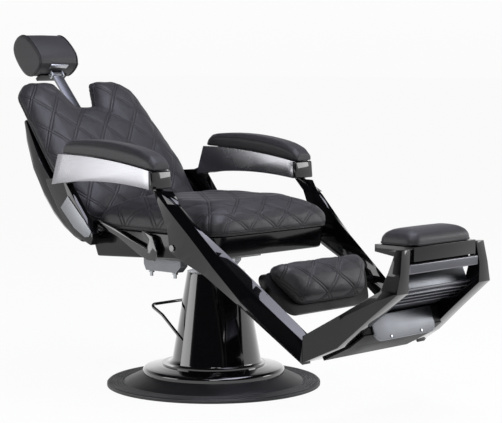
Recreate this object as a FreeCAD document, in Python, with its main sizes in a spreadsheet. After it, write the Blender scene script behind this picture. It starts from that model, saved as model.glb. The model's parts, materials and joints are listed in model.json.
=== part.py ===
import FreeCAD, Part
import math
import os
import re
import Sketcher
from FreeCAD import Placement, Rotation, Vector

# Reclining barber chair on a round hydraulic foot, shown fully reclined.
# Millimetres. The origin is on the floor under the column, +Z is up, the
# sitter faces -Y and the sitter's left hand is at +X.

doc = FreeCAD.newDocument("reclining_barber_chair")
sheet = doc.addObject("Spreadsheet::Sheet", "Sizes")

SIZES = {
    # Fits
    "running_clearance": 0.05,
    "seat_gap": 0.3,
    "open_pivot_clearance": 0.5,
    # Round foot
    "base_radius": 310,
    "tread_width": 49,
    "tread_thickness": 12,
    "tread_edge": 4,
    "groove_land": 2,
    "groove_width": 3,
    "groove_depth": 1.5,
    "floor_plate_thickness": 8,
    "cone_height": 25,
    "cone_wall": 3,
    "disc_radius": 206,
    "disc_rim": 10,
    "disc_dome": 15,
    "disc_wall": 4,
    "disc_round": 6,
    "disc_opening": 116,
    # Column cover in two half shells
    "shell_wall": 3,
    "foot_flange_radius": 150,
    "foot_flange": 4,
    "front_foot_radius": 139,
    "front_top_radius": 92,
    "front_flare": 8,
    "rear_foot_radius": 122,
    "rear_top_radius": 76,
    "rear_flare": 20,
    "cap_thickness": 8,
    "cap_clearance": 4,
    # Hydraulic pump and ram
    "pump_radius": 45,
    "pump_flange_radius": 85,
    "pump_flange": 12,
    "bolt_circle": 66,
    "bolt_radius": 9,
    "bolt_head": 8,
    "ram_radius": 30,
    "ram_bottom": 24,
    "ram_stand": 7,
    "spigot_radius": 20,
    "spigot_length": 22,
    # Pump pedal, a bent rod hoop behind the column
    "pedal_rod_radius": 4.5,
    "pedal_half_width": 118.5,
    "pedal_pivot_y": -24,
    "pedal_pivot_z": 112,
    "pedal_knee_y": 91,
    "pedal_knee_z": 205,
    "pedal_bar_y": 141,
    "pedal_bar_z": 230,
    "pedal_bend": 20,
    "pedal_end_bend": 12,
    "bracket_inner": 90,
    "bracket_thickness": 10,
    "bracket_rear": 0,
    "bracket_front": -42,
    "bracket_eye": 14,
    # Seat base and mechanism
    "hub_radius": 62,
    "hub_height": 31,
    "plate_half_width": 135,
    "plate_front": -64,
    "plate_rear": 165,
    "plate_thickness": 9,
    "casting_inner": 98,
    "casting_width": 30,
    "casting_front": 8,
    "casting_rear": 158,
    "casting_depth": 36,
    "casting_bolt_radius": 5,
    "casting_bolt_drop": 18,
    "casting_nut_radius": 9,
    "casting_nut": 7,
    "lock_radius": 18,
    "lock_front": 80,
    "lock_length": 130,
    "lock_offset": 58,
    # Seat pan and cushion
    "pivot_rise": 53,
    "pan_depth": 83,
    "pan_lift": 21,
    "pan_half_width": 248,
    "pan_front": -238,
    "pan_rear": 260,
    "pan_front_rake": 14,
    "pan_rear_rake": 32,
    "pan_wall": 20,
    "pan_floor": 6,
    "pan_front_round": 55,
    "pan_rear_round": 10,
    "seat_overhang": 7,
    "seat_front": -250,
    "seat_rear": 236,
    "seat_crown": 88,
    "seat_rear_roll": 1.2,
    "seat_corner": 60,
    "seat_rear_corner": 40,
    # Pivots of the reclining linkage
    "pivot_height": 430,
    "back_pivot_y": 210,
    "leg_pivot_y": -137,
    "link_rake": 75,
    "link_rise": 174,
    "pin_radius": 8.5,
    "pin_flange_radius": 17,
    "pin_cover": 5,
    "trunnion_radius": 9,
    "trunnion_bite": 7,
    # Recline lever beside the pan
    "lever_gap": 10,
    "lever_thickness": 8,
    "lever_pivot_y": -12,
    "lever_drop": 32,
    "lever_pin_radius": 6,
    "lever_eye": 15,
    "grip_length": 56,
    "grip_radius": 6,
    # Back, measured along it from the middle of its widest part
    "recline_angle": 41,
    "back_origin_y": 396,
    "back_rise": 189,
    "back_low": -196,
    "back_foot_taper": 31,
    "back_low_corner": 45,
    "back_side_gap": 4.4,
    "back_waist_round": 200,
    "shoulder_taper": 25,
    "shoulder_low": 285,
    "shoulder_run": 80,
    "shoulder_round": 55,
    "horn_top": 334,
    "horn_round": 22,
    "notch_mouth": 78,
    "notch_half_width": 34,
    "notch_bottom": 234,
    "notch_round": 12,
    "back_rear_depth": 12,
    "back_rear_inset": 6,
    "back_crown": 34,
    "board_thickness": 10,
    "board_inset": 20,
    "back_shell_edge": 45,
    "back_shell_drawn": 0.55,
    "back_shell_taper": 33.1,
    "arm_gap": 21.4,
    "arm_thickness": 26,
    "back_boss": 17,
    "trim_thickness": 3,
    # Headrest
    "bar_half_width": 19,
    "bar_thickness": 8,
    "bar_depth": 29,
    "bar_low": 118,
    "bar_top": 391,
    "bar_eye": 9,
    "bar_drop": 45,
    "socket_low": 140,
    "socket_top": 204,
    "socket_wall": 5,
    "hinge_pin_radius": 4,
    "hinge_half_width": 30,
    "head_half_width": 82,
    "head_round": 14,
    "head_low": 406,
    "head_height": 130,
    "head_front_reach": 52,
    "head_rear_reach": 46,
    "head_front_slope": 14,
    "head_rear_slope": 6,
    "head_front_low_round": 22,
    "head_front_high_round": 28,
    "head_rear_high_round": 26,
    "head_rear_low_round": 30,
    "head_shell": 10,
    "head_bracket": 5,
    # Armrests
    "armrest_offset": 28.1,
    "armrest_half_width": 38.5,
    "panel_thickness": 10,
    "armrest_cap": 13,
    "core_setback": 38,
    "cap_rake": 4,
    "cap_drop": 2,
    "pad_seam_inset": 1.5,
    "pad_seam_round": 3,
    "pad_bulge": 0.55,
    "pad_side_round": 12,
    "pad_top_inset": 13,
    "pad_top_round": 14,
    # Leg frame: side beams with an outer ridge, and foot arms inside their lower ends
    "bend_y": -566,
    "ridge_offset": 23.4,
    "ridge_toe_in": 0.0973,
    "beam_inset": 19,
    "beam_inner_toe_in": 0.145,
    "lower_bevel": 10,
    "ridge_lean": 12,
    "tongue_half_width": 13,
    "tongue_eye": 15,
    "foot_toe_in": 0.1,
    "foot_arm_thickness": 50,
    "heel_flare": 33,
    "post_lean": 26,
    "post_top_depth": 61,
    "crossbar_depth": 16,
    "crossbar_height": 25,
    "sheet_thickness": 5,
    "tread_sink": 4,
    "tread_lap": 6,
    "rib_height": 7,
    "rib_thickness": 4,
    "rib_pitch": 24,
    "rib_end": 14,
    "toe_half_width": 130,
    "toe_round": 25,
    "sole_setback": 1.2,
    "screw_radius": 4,
    # Calf rest
    "calf_half_width": 205,
    "calf_lean": 34,
    "calf_bar_down": 65,
    "calf_bar_depth": 30,
    "calf_bar_radius": 10,
    "calf_low_half_width": 138,
    "calf_height": 125,
    "calf_thickness": 52,
    "calf_shell_margin": 22,
    "calf_shell_top": 16,
    "calf_shell_depth": 58,
    "calf_corner": 45,
    "calf_top_corner": 30,
    # Foot pad
    "tray_half_width": 133,
    "tray_front": -827,
    "tray_length": 127,
    "tray_rise": 1,
    "tray_height": 37,
    "tray_rear_lift": 18,
    "tray_pin_radius": 6,
    "tray_pin_y": -812,
    "tray_lip_setback": 4,
    "tray_lip_lap": 6,
    "tray_pin_rise": 20,
    "foot_pad_height": 44,
    "foot_pad_rounding": 0.5,
}

# Corner points of the side outlines: y, and height above the pivots of the seat.
POINTS = {
    # Side beam from the armrest down to the bend: lower edge, crease above it,
    # outer ridge and inner upper edge
    "beam_top_low": (-70, 154),
    "beam_top_crease": (-81, 154),
    "beam_top_ridge": (-107, 154),
    "beam_top_edge": (-128, 154),
    "gusset_top_low": (-117, 54),
    "gusset_top_crease": (-152, 84),
    "gusset_top_ridge": (-161, 112),
    "gusset_top_edge": (-158, 111),
    "gusset_back_low": (-127, -10),
    "gusset_back_crease": (-197, 42),
    "gusset_back_ridge": (-194, 80),
    "gusset_back_edge": (-192, 79),
    "gusset_foot_low": (-169, -34),
    "gusset_foot_crease": (-228, 12),
    "gusset_foot_ridge": (-234, 41),
    "gusset_foot_edge": (-236, 42),
    "beam_mid_low": (-245, -67),
    "beam_mid_crease": (-282, -42),
    "beam_mid_ridge": (-292, -12),
    "beam_mid_edge": (-304, -6),
    "beam_low_low": (-359, -138),
    "beam_low_crease": (-376, -128),
    "beam_low_ridge": (-402, -100),
    "beam_low_edge": (-396, -75),
    "beam_end_low": (-566, -275),
    "beam_end_crease": (-566, -267),
    "beam_end_ridge": (-566, -213),
    "beam_end_edge": (-566, -205),
    "neck_front": (-150, 120),
    "neck_back": (-100, 120),
    # Foot arm from the bend to the top of its upturned post: lower or front edge,
    # and upper or rear edge
    "heel_low": (-566.3, -270),
    "heel_high": (-566.3, -200),
    "sole_low": (-648, -228),
    "sole_high": (-659, -139),
    "arch_low": (-738, -150),
    "arch_high": (-742, -90),
    "knee_low": (-826, -77),
    "knee_high": (-776, -71),
    "post_low": (-827, -25),
    "post_high": (-790, -25),
    "post_top_low": (-822, 33),
    "post_top_high": (-804, 33),
    # Sheets between the foot arms
    "crossbar_low": (-825, -30),
    "kick_top": (-768, -38),
    "kick_low": (-785, -71),
    "toe_top": (-675, -133),
    "toe_low": (-706, -216),
    # Calf cushion, middle of its top edge
    "calf_top": (-368, -45),
    # Armrest side panel
    "panel_rear_low": (320, 154),
    "panel_mid_low": (113, 171),
    "panel_front_low": (-79, 158),
    "panel_rear_high": (291, 242),
    "panel_mid_high": (112, 235),
    "panel_front_high": (-79, 209),
    "pad_rear": (275, 283),
    "pad_mid": (112, 287),
    "pad_front": (-84, 254),
    # Rear cover of the back, from its top edge down and round to the seat
    "cover_top": (562, 318),
    "cover_high": (546, 260),
    "cover_mid": (497, 176),
    "cover_low": (456, 104),
    "cover_heel": (412, 52),
    "cover_base": (366, 16),
    "cover_toe": (318, -9),
    "cover_tip": (282, -18),
    "cover_lip": (277, 2),
    # Curved side arm of the back, from its pivot up to the armrest
    "arm_heel": (230, -6),
    "arm_rear_low": (263, 6),
    "arm_rear_mid": (297, 33),
    "arm_rear_high": (331, 67),
    "arm_rear_top": (384, 144),
    "arm_top_back": (392, 164),
    "arm_top": (340, 168),
    "arm_crotch": (303, 155),
    "arm_front_mid": (265, 106),
    "arm_front_low": (224, 57),
    # Bright trim strip on that arm
    "trim_tip": (294, 119),
    "trim_rear_high": (325, 84),
    "trim_rear_low": (268, 29),
    "trim_foot": (223, 5),
    "trim_foot_front": (206, 7),
    "trim_end": (196, 21),
    "trim_front": (227, 56),
    # Recline lever
    "lever_tip": (255, 46),
    "lever_tip_low": (248, 36),
    "lever_top": (201, 53),
    "lever_mid": (131, 33),
    "lever_neck": (186, 32),
    "lever_mid_low": (121, 12),
    "lever_knee": (63, 6),
    "lever_knee_low": (45, -28),
    "lever_crotch": (2, -16),
    "hook_in": (-2, 7),
    "hook_mouth": (20, 25),
    "hook_tip": (22, 36),
    "hook_top": (-18, 21),
    "hook_out": (-37, -18),
}

for point, (point_y, point_z) in POINTS.items():
    SIZES[point + "_y"] = point_y
    SIZES[point + "_z"] = point_z

for row, (alias, number) in enumerate(SIZES.items(), start=1):
    sheet.set(f"A{row}", alias)
    sheet.set(f"B{row}", str(number))
    sheet.setAlias(f"B{row}", alias)
doc.recompute()

SIDES = (("left", 1), ("right", -1))
subparts = []


def size(expression):
    """Value in millimetres of an expression in the sheet's names."""
    return float(sheet.evalExpression(expression))


def bind(thing, target, expression):
    """Tie a property to the sheet with an expression in its names."""
    def named(word):
        return f"Sizes.{word[0]}" if word[0] in SIZES else word[0]
    thing.setExpression(target, re.sub(r"[a-z][a-z_]*", named, expression))


def point(name, x=0.0):
    """A named side-outline point at a distance x from the middle."""
    return Vector(x, size(f"{name}_y"), size(f"pivot_height + {name}_z"))


def keep(thing, label):
    """Name a finished sub-part and put it on the list of files."""
    thing.Label = label
    subparts.append(thing)
    return thing


def shaped(label, shape):
    """A sub-part whose solid is made by Part's own functions."""
    thing = doc.addObject("Part::Feature", label)
    thing.Shape = shape
    return keep(thing, label)


# Sketched bodies

def outline(body, plane, corners):
    """Closed straight-sided sketch, each corner tied to the sheet."""
    sketch = body.newObject("Sketcher::SketchObject", "outline")
    origin_plane = next(f for f in body.Origin.OriginFeatures if f.Role == plane)
    sketch.AttachmentSupport = [(origin_plane, "")]
    sketch.MapMode = "FlatFace"
    places = [Vector(size(u), size(v), 0) for u, v in corners]
    count = len(corners)
    for index in range(count):
        sketch.addGeometry(Part.LineSegment(places[index], places[(index + 1) % count]))
    for index in range(count):
        sketch.addConstraint(Sketcher.Constraint("Coincident", index, 2, (index + 1) % count, 1))
    for index, (u, v) in enumerate(corners):
        for kind, expression, value in (("DistanceX", u, places[index].x),
                                        ("DistanceY", v, places[index].y)):
            number = sketch.addConstraint(
                Sketcher.Constraint(kind, -1, 1, index, 1, value))
            bind(sketch, f"Constraints[{number}]", expression)
    return sketch


def revolve(body, corners, angle=360, reverse=False):
    """Turn a half profile, given as (radius, height), about the column axis."""
    feature = body.newObject("PartDesign::Revolution", "turned")
    feature.Profile = outline(body, "XZ_Plane", corners)
    axis = next(f for f in body.Origin.OriginFeatures if f.Role == "Z_Axis")
    feature.ReferenceAxis = (axis, [""])
    feature.Angle = angle
    feature.Reversed = reverse
    doc.recompute()
    return feature


def turned(label, corners, angle=360, reverse=False):
    """A sub-part turned from one half profile."""
    body = doc.addObject("PartDesign::Body", label)
    revolve(body, corners, angle, reverse)
    return keep(body, label)


def round_edges(body, radius, wanted):
    """Round those edges of a body that a test on the edge picks out."""
    base = body.Tip
    names = [f"Edge{number}" for number, edge in enumerate(base.Shape.Edges, start=1)
             if wanted(edge)]
    feature = body.newObject("PartDesign::Fillet", "rounded")
    feature.Base = (base, names)
    bind(feature, "Radius", radius)
    doc.recompute()


def is_circle(edge, radius, height):
    """True for a level circle or arc of that radius at that height."""
    curve = edge.Curve
    near = 1e-3
    return (isinstance(curve, Part.Circle) and abs(curve.Radius - size(radius)) < near
            and abs(curve.Center.z - size(height)) < near)


def side_plate(label, corners, start, thickness, sign, export=True):
    """Flat plate seen from the side, standing from start outwards on one side."""
    body = doc.addObject("PartDesign::Body", label)
    pad = body.newObject("PartDesign::Pad", "plate")
    sketch = outline(body, "YZ_Plane", corners)
    bind(sketch, "AttachmentOffset.Base.z", f"{sign} * ({start})")
    pad.Profile = sketch
    bind(pad, "Length", thickness)
    pad.Reversed = sign < 0
    doc.recompute()
    return keep(body, label) if export else body


def named_corners(names):
    """Sketch corners from named side-outline points."""
    return [(f"{name}_y", f"pivot_height + {name}_z") for name in names]


def rod(label, radius, length, place, axis=Vector(0, 0, 1)):
    """Round bar whose end face is centred on place and which runs along axis."""
    bar = doc.addObject("Part::Cylinder", label)
    bar.Placement = Placement(Vector(), Rotation(Vector(0, 0, 1), axis))
    bind(bar, "Radius", radius)
    bind(bar, "Height", length)
    for target, expression in zip("xyz", place):
        bind(bar, f"Placement.Base.{target}", expression)
    return bar


def joined(kind, label, base, tool):
    """Boolean of two objects: Part::Cut or Part::Fuse."""
    result = doc.addObject(kind, label)
    result.Base = base
    result.Tool = tool
    return result


def group(label, members):
    """Several separate solids that share one node."""
    result = doc.addObject("Part::Compound", label)
    result.Links = members
    return keep(result, label)


# Outlines and lofts for moulded and upholstered pieces

def rounded_wire(corners, to_space):
    """Closed wire through (u, v, radius) corners, each cut by a tangent arc."""
    edges = []
    ends = []
    count = len(corners)
    for index in range(count):
        u, v, radius = corners[index]
        here = Vector(u, v, 0)
        before = Vector(*corners[index - 1][:2], 0) - here
        after = Vector(*corners[(index + 1) % count][:2], 0) - here
        before.normalize()
        after.normalize()
        half = before.getAngle(after) / 2
        bisector = (before + after).normalize()
        centre = here + bisector * (radius / math.sin(half))
        reach = radius / math.tan(half)
        middle = centre - bisector * radius
        ends.append((here + before * reach, middle, here + after * reach))
    for index, (start, middle, end) in enumerate(ends):
        edges.append(Part.Arc(to_space(start), to_space(middle), to_space(end)).toShape())
        following = ends[(index + 1) % count][0]
        edges.append(Part.LineSegment(to_space(end), to_space(following)).toShape())
    return Part.Wire(edges)


def loft(wires):
    """Solid skinned straight from each wire to the next."""
    return Part.makeLoft(wires, True, True)


def level(height):
    """Mapping of a flat outline to a level plane."""
    return lambda flat: Vector(flat.x, flat.y, height)


def pillow(levels):
    """Crowned pad: (half width, front, front corner, rear, rear corner, height)."""
    wires = []
    for half, front, front_corner, rear, rear_corner, height in levels:
        corners = [(-half, front, front_corner), (half, front, front_corner),
                   (half, rear, rear_corner), (-half, rear, rear_corner)]
        wires.append(rounded_wire(corners, level(height)))
    return loft(wires)


# A crown in five steps: share of the height, and share of the roll drawn in
CROWN = ((0.0, 0.10), (0.12, 0.0), (0.45, 0.06), (0.72, 0.26), (0.90, 0.58), (1.0, 1.0))


def x_axis_cylinder(centre, radius, low, high):
    """Round bar along X, used for eyes, trunnions and bores."""
    return Part.makeCylinder(radius, high - low, Vector(low, centre.y, centre.z), Vector(1, 0, 0))


# Heights that follow from the seat's pivots down to the column

pan_bottom = "(pivot_height - pivot_rise)"
plate_low = f"({pan_bottom} - plate_thickness)"
ram_top = f"({plate_low} - hub_height)"
column_top = f"({ram_top} - ram_stand)"

# Widths that follow from the seat pan outwards

lever_inner = "(pan_half_width + lever_gap)"
arm_inner = "(pan_half_width + arm_gap)"
armrest_centre = f"({arm_inner} + armrest_offset)"
ridge_half_width = "(pan_half_width + ridge_offset)"
beam_inner_half_width = "(pan_half_width - beam_inset)"

# Round foot

ring_inner = "base_radius - tread_width"
grooves = 5
groove_pitch = f"(tread_width - tread_edge - groove_width - groove_land) / {grooves}"
ring_profile = [(ring_inner, "0"), ("base_radius", "0"),
                ("base_radius", "tread_thickness - tread_edge"),
                ("base_radius - tread_edge", "tread_thickness")]
for groove in range(grooves):
    outer = f"base_radius - tread_edge - {groove + 1} * {groove_pitch}"
    ring_profile += [(outer, "tread_thickness"),
                     (outer, "tread_thickness - groove_depth"),
                     (f"{outer} - groove_width", "tread_thickness - groove_depth"),
                     (f"{outer} - groove_width", "tread_thickness")]
ring_profile.append((ring_inner, "tread_thickness"))
turned("tread_ring", ring_profile)

plate_radius = f"{ring_inner} - seat_gap"
keep(rod("floor_plate", plate_radius, "floor_plate_thickness", ("0", "0", "0")), "floor_plate")

cone_top = "floor_plate_thickness + cone_wall + cone_height"
turned("base_cone", [
    (plate_radius, "floor_plate_thickness"),
    (plate_radius, "floor_plate_thickness + cone_wall"),
    ("disc_radius", cone_top),
    ("disc_radius - disc_wall", cone_top),
    ("disc_radius - disc_wall", f"{cone_top} - cone_wall"),
    (f"{plate_radius} - 2 * cone_wall", "floor_plate_thickness")])

disc_top = f"{cone_top} + disc_rim + disc_dome"
disc = turned("base_disc", [
    ("disc_radius", cone_top),
    ("disc_radius", f"{cone_top} + disc_rim"),
    ("disc_radius - disc_round", f"{cone_top} + disc_rim + disc_round"),
    ("foot_flange_radius", disc_top),
    ("disc_opening", disc_top),
    ("disc_opening", f"{disc_top} - disc_wall"),
    ("foot_flange_radius", f"{disc_top} - disc_wall"),
    ("disc_radius - disc_round - disc_wall", f"{cone_top} + disc_rim + disc_round - disc_wall"),
    ("disc_radius - disc_wall", f"{cone_top} + disc_rim - disc_wall"),
    ("disc_radius - disc_wall", cone_top)])
round_edges(disc, "disc_round", lambda edge:
            is_circle(edge, "disc_radius", f"{cone_top} + disc_rim")
            or is_circle(edge, "disc_radius - disc_round", f"{cone_top} + disc_rim + disc_round"))

for label, foot, top, flare, reverse in (
        ("column_front_shell", "front_foot_radius", "front_top_radius", "front_flare", True),
        ("column_rear_shell", "rear_foot_radius", "rear_top_radius", "rear_flare", False)):
    shell = turned(label, [
        ("foot_flange_radius", disc_top),
        ("foot_flange_radius", f"{disc_top} + foot_flange"),
        (foot, f"{disc_top} + foot_flange"),
        (top, column_top),
        (f"{top} - shell_wall", column_top),
        (f"{foot} - shell_wall", f"{disc_top} + foot_flange"),
        (f"{foot} - shell_wall", disc_top)], angle=180, reverse=reverse)
    round_edges(shell, flare, lambda edge: is_circle(edge, foot, f"{disc_top} + foot_flange"))

cap_low = f"({column_top} - cap_thickness)"
cap = doc.addObject("PartDesign::Body", "column_cap")
cap_bore = "ram_radius + cap_clearance"
rear_inner = "rear_top_radius - shell_wall - seat_gap"
front_inner = "front_top_radius - shell_wall - seat_gap"
for outer, angle, reverse in ((rear_inner, 360, False), (front_inner, 180, True)):
    revolve(cap, [(cap_bore, cap_low), (outer, cap_low),
                  (outer, column_top), (cap_bore, column_top)], angle, reverse)
keep(cap, "column_cap")

# Pump, ram and pedal

flange_top = "floor_plate_thickness + pump_flange"
bore = "ram_radius + running_clearance"
turned("pump_cylinder", [
    ("0", "floor_plate_thickness"),
    ("pump_flange_radius", "floor_plate_thickness"),
    ("pump_flange_radius", flange_top),
    ("pump_radius", flange_top),
    ("pump_radius", cap_low),
    (bore, cap_low),
    (bore, flange_top),
    ("0", flange_top)])

pump_bolts = []
bolt_count = 6
for number in range(bolt_count):
    bolt = doc.addObject("Part::Prism", "pump_bolt")
    bolt.Polygon = 6
    bind(bolt, "Circumradius", "bolt_radius")
    bind(bolt, "Height", "bolt_head")
    turn = number * 360 / bolt_count
    bind(bolt, "Placement.Base.x", f"bolt_circle * cos({turn} deg)")
    bind(bolt, "Placement.Base.y", f"bolt_circle * sin({turn} deg)")
    bind(bolt, "Placement.Base.z", flange_top)
    pump_bolts.append(bolt)
group("pump_bolts", pump_bolts)

turned("hydraulic_ram", [
    ("0", "ram_bottom"),
    ("ram_radius", "ram_bottom"),
    ("ram_radius", ram_top),
    ("spigot_radius", ram_top),
    ("spigot_radius", f"{ram_top} + spigot_length"),
    ("0", f"{ram_top} + spigot_length")])

brackets = []
for side, sign in SIDES:
    plate = side_plate(f"pedal_lug_{side}", [
        ("bracket_front", "floor_plate_thickness"),
        ("bracket_rear", "floor_plate_thickness"),
        ("pedal_pivot_y + bracket_eye", "pedal_pivot_z + bracket_eye"),
        ("pedal_pivot_y - bracket_eye", "pedal_pivot_z + bracket_eye")],
        "bracket_inner", "bracket_thickness", sign, export=False)
    eye = rod("pedal_eye", "pedal_rod_radius + running_clearance", "2 * bracket_inner",
              (f"{sign} * bracket_inner - bracket_inner", "pedal_pivot_y", "pedal_pivot_z"),
              Vector(1, 0, 0))
    brackets.append(joined("Part::Cut", f"pedal_bracket_{side}", plate, eye))
group("pedal_brackets", brackets)


def bent_rod(places, bends, radius):
    """Round rod along straight runs joined by tangent arcs."""
    edges = []
    start = places[0]
    for before, corner, after, bend in zip(places, places[1:], places[2:], bends):
        back = (before - corner).normalize()
        ahead = (after - corner).normalize()
        half = back.getAngle(ahead) / 2
        bisector = (back + ahead).normalize()
        reach = bend / math.tan(half)
        middle = corner + bisector * (bend / math.sin(half) - bend)
        edges.append(Part.LineSegment(start, corner + back * reach).toShape())
        edges.append(Part.Arc(corner + back * reach, middle, corner + ahead * reach).toShape())
        start = corner + ahead * reach
    edges.append(Part.LineSegment(start, places[-1]).toShape())
    path = Part.Wire(edges)
    end = Part.Wire([Part.Circle(places[0], places[1] - places[0], radius).toShape()])
    return path.makePipeShell([end], True, True)


pedal_x = size("pedal_half_width")
pin_end = size("bracket_inner")
pivot_y, pivot_z = size("pedal_pivot_y"), size("pedal_pivot_z")
hoop_side = [Vector(-pin_end, pivot_y, pivot_z),
             Vector(-pedal_x, pivot_y, pivot_z),
             Vector(-pedal_x, size("pedal_knee_y"), size("pedal_knee_z")),
             Vector(-pedal_x, size("pedal_bar_y"), size("pedal_bar_z"))]
hoop = hoop_side + [Vector(-place.x, place.y, place.z) for place in reversed(hoop_side)]
side_bends = [size("pedal_end_bend"), 2 * size("pedal_bend"), size("pedal_bend")]
shaped("pedal_hoop", bent_rod(hoop, side_bends + side_bends[::-1], size("pedal_rod_radius")))

# Seat base, swivel hub and recline mechanism

hub_low = f"{ram_top} + seat_gap"
hub_bore = "spigot_radius + running_clearance"
hub_roof = f"{ram_top} + spigot_length + seat_gap"
turned("swivel_hub", [
    (hub_bore, hub_low), ("hub_radius", hub_low), ("hub_radius", plate_low),
    ("0", plate_low), ("0", hub_roof), (hub_bore, hub_roof)])

pan_rear_foot = "(pan_rear - pan_rear_rake)"
pan_front_foot = "(pan_front + pan_front_rake)"


def pan_floor_at(along):
    """Height of the pan's sloping underside, which rises towards the knees."""
    run = f"({pan_rear_foot} - {pan_front_foot})"
    return f"{pan_bottom} + pan_lift * ({pan_rear_foot} - ({along})) / {run}"


def cross_block(label, corners, width):
    """Body padded evenly to both sides from a side outline."""
    body = doc.addObject("PartDesign::Body", label)
    pad = body.newObject("PartDesign::Pad", "block")
    pad.Profile = outline(body, "YZ_Plane", corners)
    pad.SideType = "Symmetric"
    bind(pad, "Length", width)
    doc.recompute()
    return body


keep(cross_block("seat_base_plate", [
    ("plate_front", plate_low),
    ("plate_rear", plate_low),
    ("plate_rear", pan_floor_at("plate_rear")),
    ("plate_front", pan_floor_at("plate_front"))],
    "2 * plate_half_width"), "seat_base_plate")

casting_low = f"{plate_low} - casting_depth"
castings = []
casting_bolts = []
for side, sign in SIDES:
    castings.append(side_plate(f"mechanism_casting_{side}", [
        ("casting_front", plate_low),
        ("casting_front", f"{plate_low} - casting_depth / 2"),
        ("casting_front + casting_depth / 2", casting_low),
        ("casting_rear - casting_depth / 4", casting_low),
        ("casting_rear", f"{plate_low} - casting_depth / 2"),
        ("casting_rear", plate_low)],
        "casting_inner", "casting_width", sign, export=False))
    for along in ("(casting_front + casting_depth)", "(casting_rear - casting_depth / 2)"):
        centre = f"{sign} * (casting_inner + casting_width / 2)"
        nut = doc.addObject("Part::Prism", "casting_nut")
        nut.Polygon = 6
        bind(nut, "Circumradius", "casting_nut_radius")
        bind(nut, "Height", "casting_nut")
        for target, expression in zip("xyz", (centre, along, f"{casting_low} - casting_nut")):
            bind(nut, f"Placement.Base.{target}", expression)
        shank = rod("casting_shank", "casting_bolt_radius", "casting_bolt_drop",
                    (centre, along, f"{casting_low} - casting_bolt_drop"))
        casting_bolts.append(joined("Part::Fuse", "casting_bolt", nut, shank))
group("mechanism_castings", castings)
group("casting_bolts", casting_bolts)

keep(rod("recline_lock", "lock_radius", "lock_length",
         ("lock_offset", "lock_front", f"{plate_low} - lock_radius"), Vector(0, 1, 0)),
     "recline_lock")

pan_top = f"({pan_bottom} + pan_depth)"
pan = cross_block("seat_pan", [
    (pan_front_foot, pan_floor_at(pan_front_foot)),
    (pan_rear_foot, pan_bottom),
    ("pan_rear", pan_top),
    ("pan_front", pan_top)], "2 * pan_half_width")


def is_corner(edge, front):
    """True for the raked upright edges at the front or rear of the pan."""
    ends = [vertex.Point for vertex in edge.Vertexes]
    rises = abs(ends[0].z - ends[-1].z) > size("pan_depth") / 2
    return rises and (ends[0].y < 0) == front


round_edges(pan, "pan_front_round", lambda edge: is_corner(edge, True))
round_edges(pan, "pan_rear_round", lambda edge: is_corner(edge, False))
hollow = pan.newObject("PartDesign::Pocket", "hollow")
hollow_sketch = outline(pan, "XY_Plane", [
    ("-(pan_half_width - pan_wall)", f"{pan_front_foot} + pan_wall"),
    ("pan_half_width - pan_wall", f"{pan_front_foot} + pan_wall"),
    ("pan_half_width - pan_wall", f"{pan_rear_foot} - pan_wall"),
    ("-(pan_half_width - pan_wall)", f"{pan_rear_foot} - pan_wall")])
bind(hollow_sketch, "AttachmentOffset.Base.z", pan_top)
hollow.Profile = hollow_sketch
bind(hollow, "Length", "pan_depth - pan_lift - pan_floor")
doc.recompute()
keep(pan, "seat_pan")

seat_low = size(pan_top + " + seat_gap")
seat_levels = []
for rise, drawn in CROWN:
    roll = drawn * size("seat_crown")
    seat_levels.append((size("pan_half_width + seat_overhang") - roll,
                        size("seat_front") + roll, size("seat_corner"),
                        size("seat_rear") - size("seat_rear_roll") * roll, size("seat_rear_corner"),
                        seat_low + rise * size("seat_crown")))
shaped("seat_cushion", pillow(seat_levels))

# Pivot pins on the pan, one pair for the back and one for the leg frame

# The flange stops short of the nearest corner of the toed-in beam
flange_edge = "(leg_pivot_y - pin_flange_radius - bend_y)"
beam_inner_at = f"({beam_inner_half_width} + {flange_edge} * beam_inner_toe_in)"
beam_outer_at = f"({ridge_half_width} + (leg_pivot_y - bend_y) * ridge_toe_in)"
pivot_pins = []
for side, sign in SIDES:
    for along, inner, outer in (("back_pivot_y", arm_inner, f"({arm_inner} + arm_thickness)"),
                                ("leg_pivot_y", beam_inner_at, beam_outer_at)):
        axis = Vector(sign, 0, 0)
        root = (f"{sign} * pan_half_width", along, "pivot_height")
        flange = rod("pin_flange", "pin_flange_radius", f"{inner} - seat_gap - pan_half_width",
                     root, axis)
        shank = rod("pin_shank", "pin_radius", f"{outer} - pin_cover - pan_half_width", root, axis)
        pivot_pins.append(joined("Part::Fuse", "pivot_pin", flange, shank))
group("pivot_pins", pivot_pins)

# Recline lever on the sitter's right, with a bright grip bar

lever_names = ["lever_tip_low", "lever_tip", "lever_top", "lever_mid", "lever_knee", "lever_crotch",
               "hook_in", "hook_mouth", "hook_tip", "hook_top", "hook_out"]
lever_pivot_z = "(pivot_height - lever_drop)"
lever_eye_corners = [("lever_pivot_y - lever_eye", f"{lever_pivot_z} - lever_eye"),
                     ("lever_pivot_y + lever_eye", f"{lever_pivot_z} - lever_eye")]
lever_plate = side_plate("lever_plate", named_corners(lever_names) + lever_eye_corners
                         + named_corners(["lever_knee_low", "lever_mid_low", "lever_neck"]),
                         lever_inner, "lever_thickness", -1, export=False)
lever_pin = rod("lever_pin", "lever_pin_radius", "lever_gap - seat_gap",
                (f"-{lever_inner}", "lever_pivot_y", lever_pivot_z), Vector(1, 0, 0))
keep(joined("Part::Fuse", "recline_lever", lever_plate, lever_pin), "recline_lever")

grip_start = point("lever_tip_low", -size(f"{lever_inner} + lever_thickness / 2"))
grip_run = point("lever_neck", grip_start.x) - grip_start
grip_down = Vector(0, grip_run.z, -grip_run.y).normalize()
grip_root = grip_start - grip_down * size("grip_radius")
shaped("lever_grip", Part.makeCylinder(size("grip_radius"), size("grip_length"),
                                       grip_root, grip_run))

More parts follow.
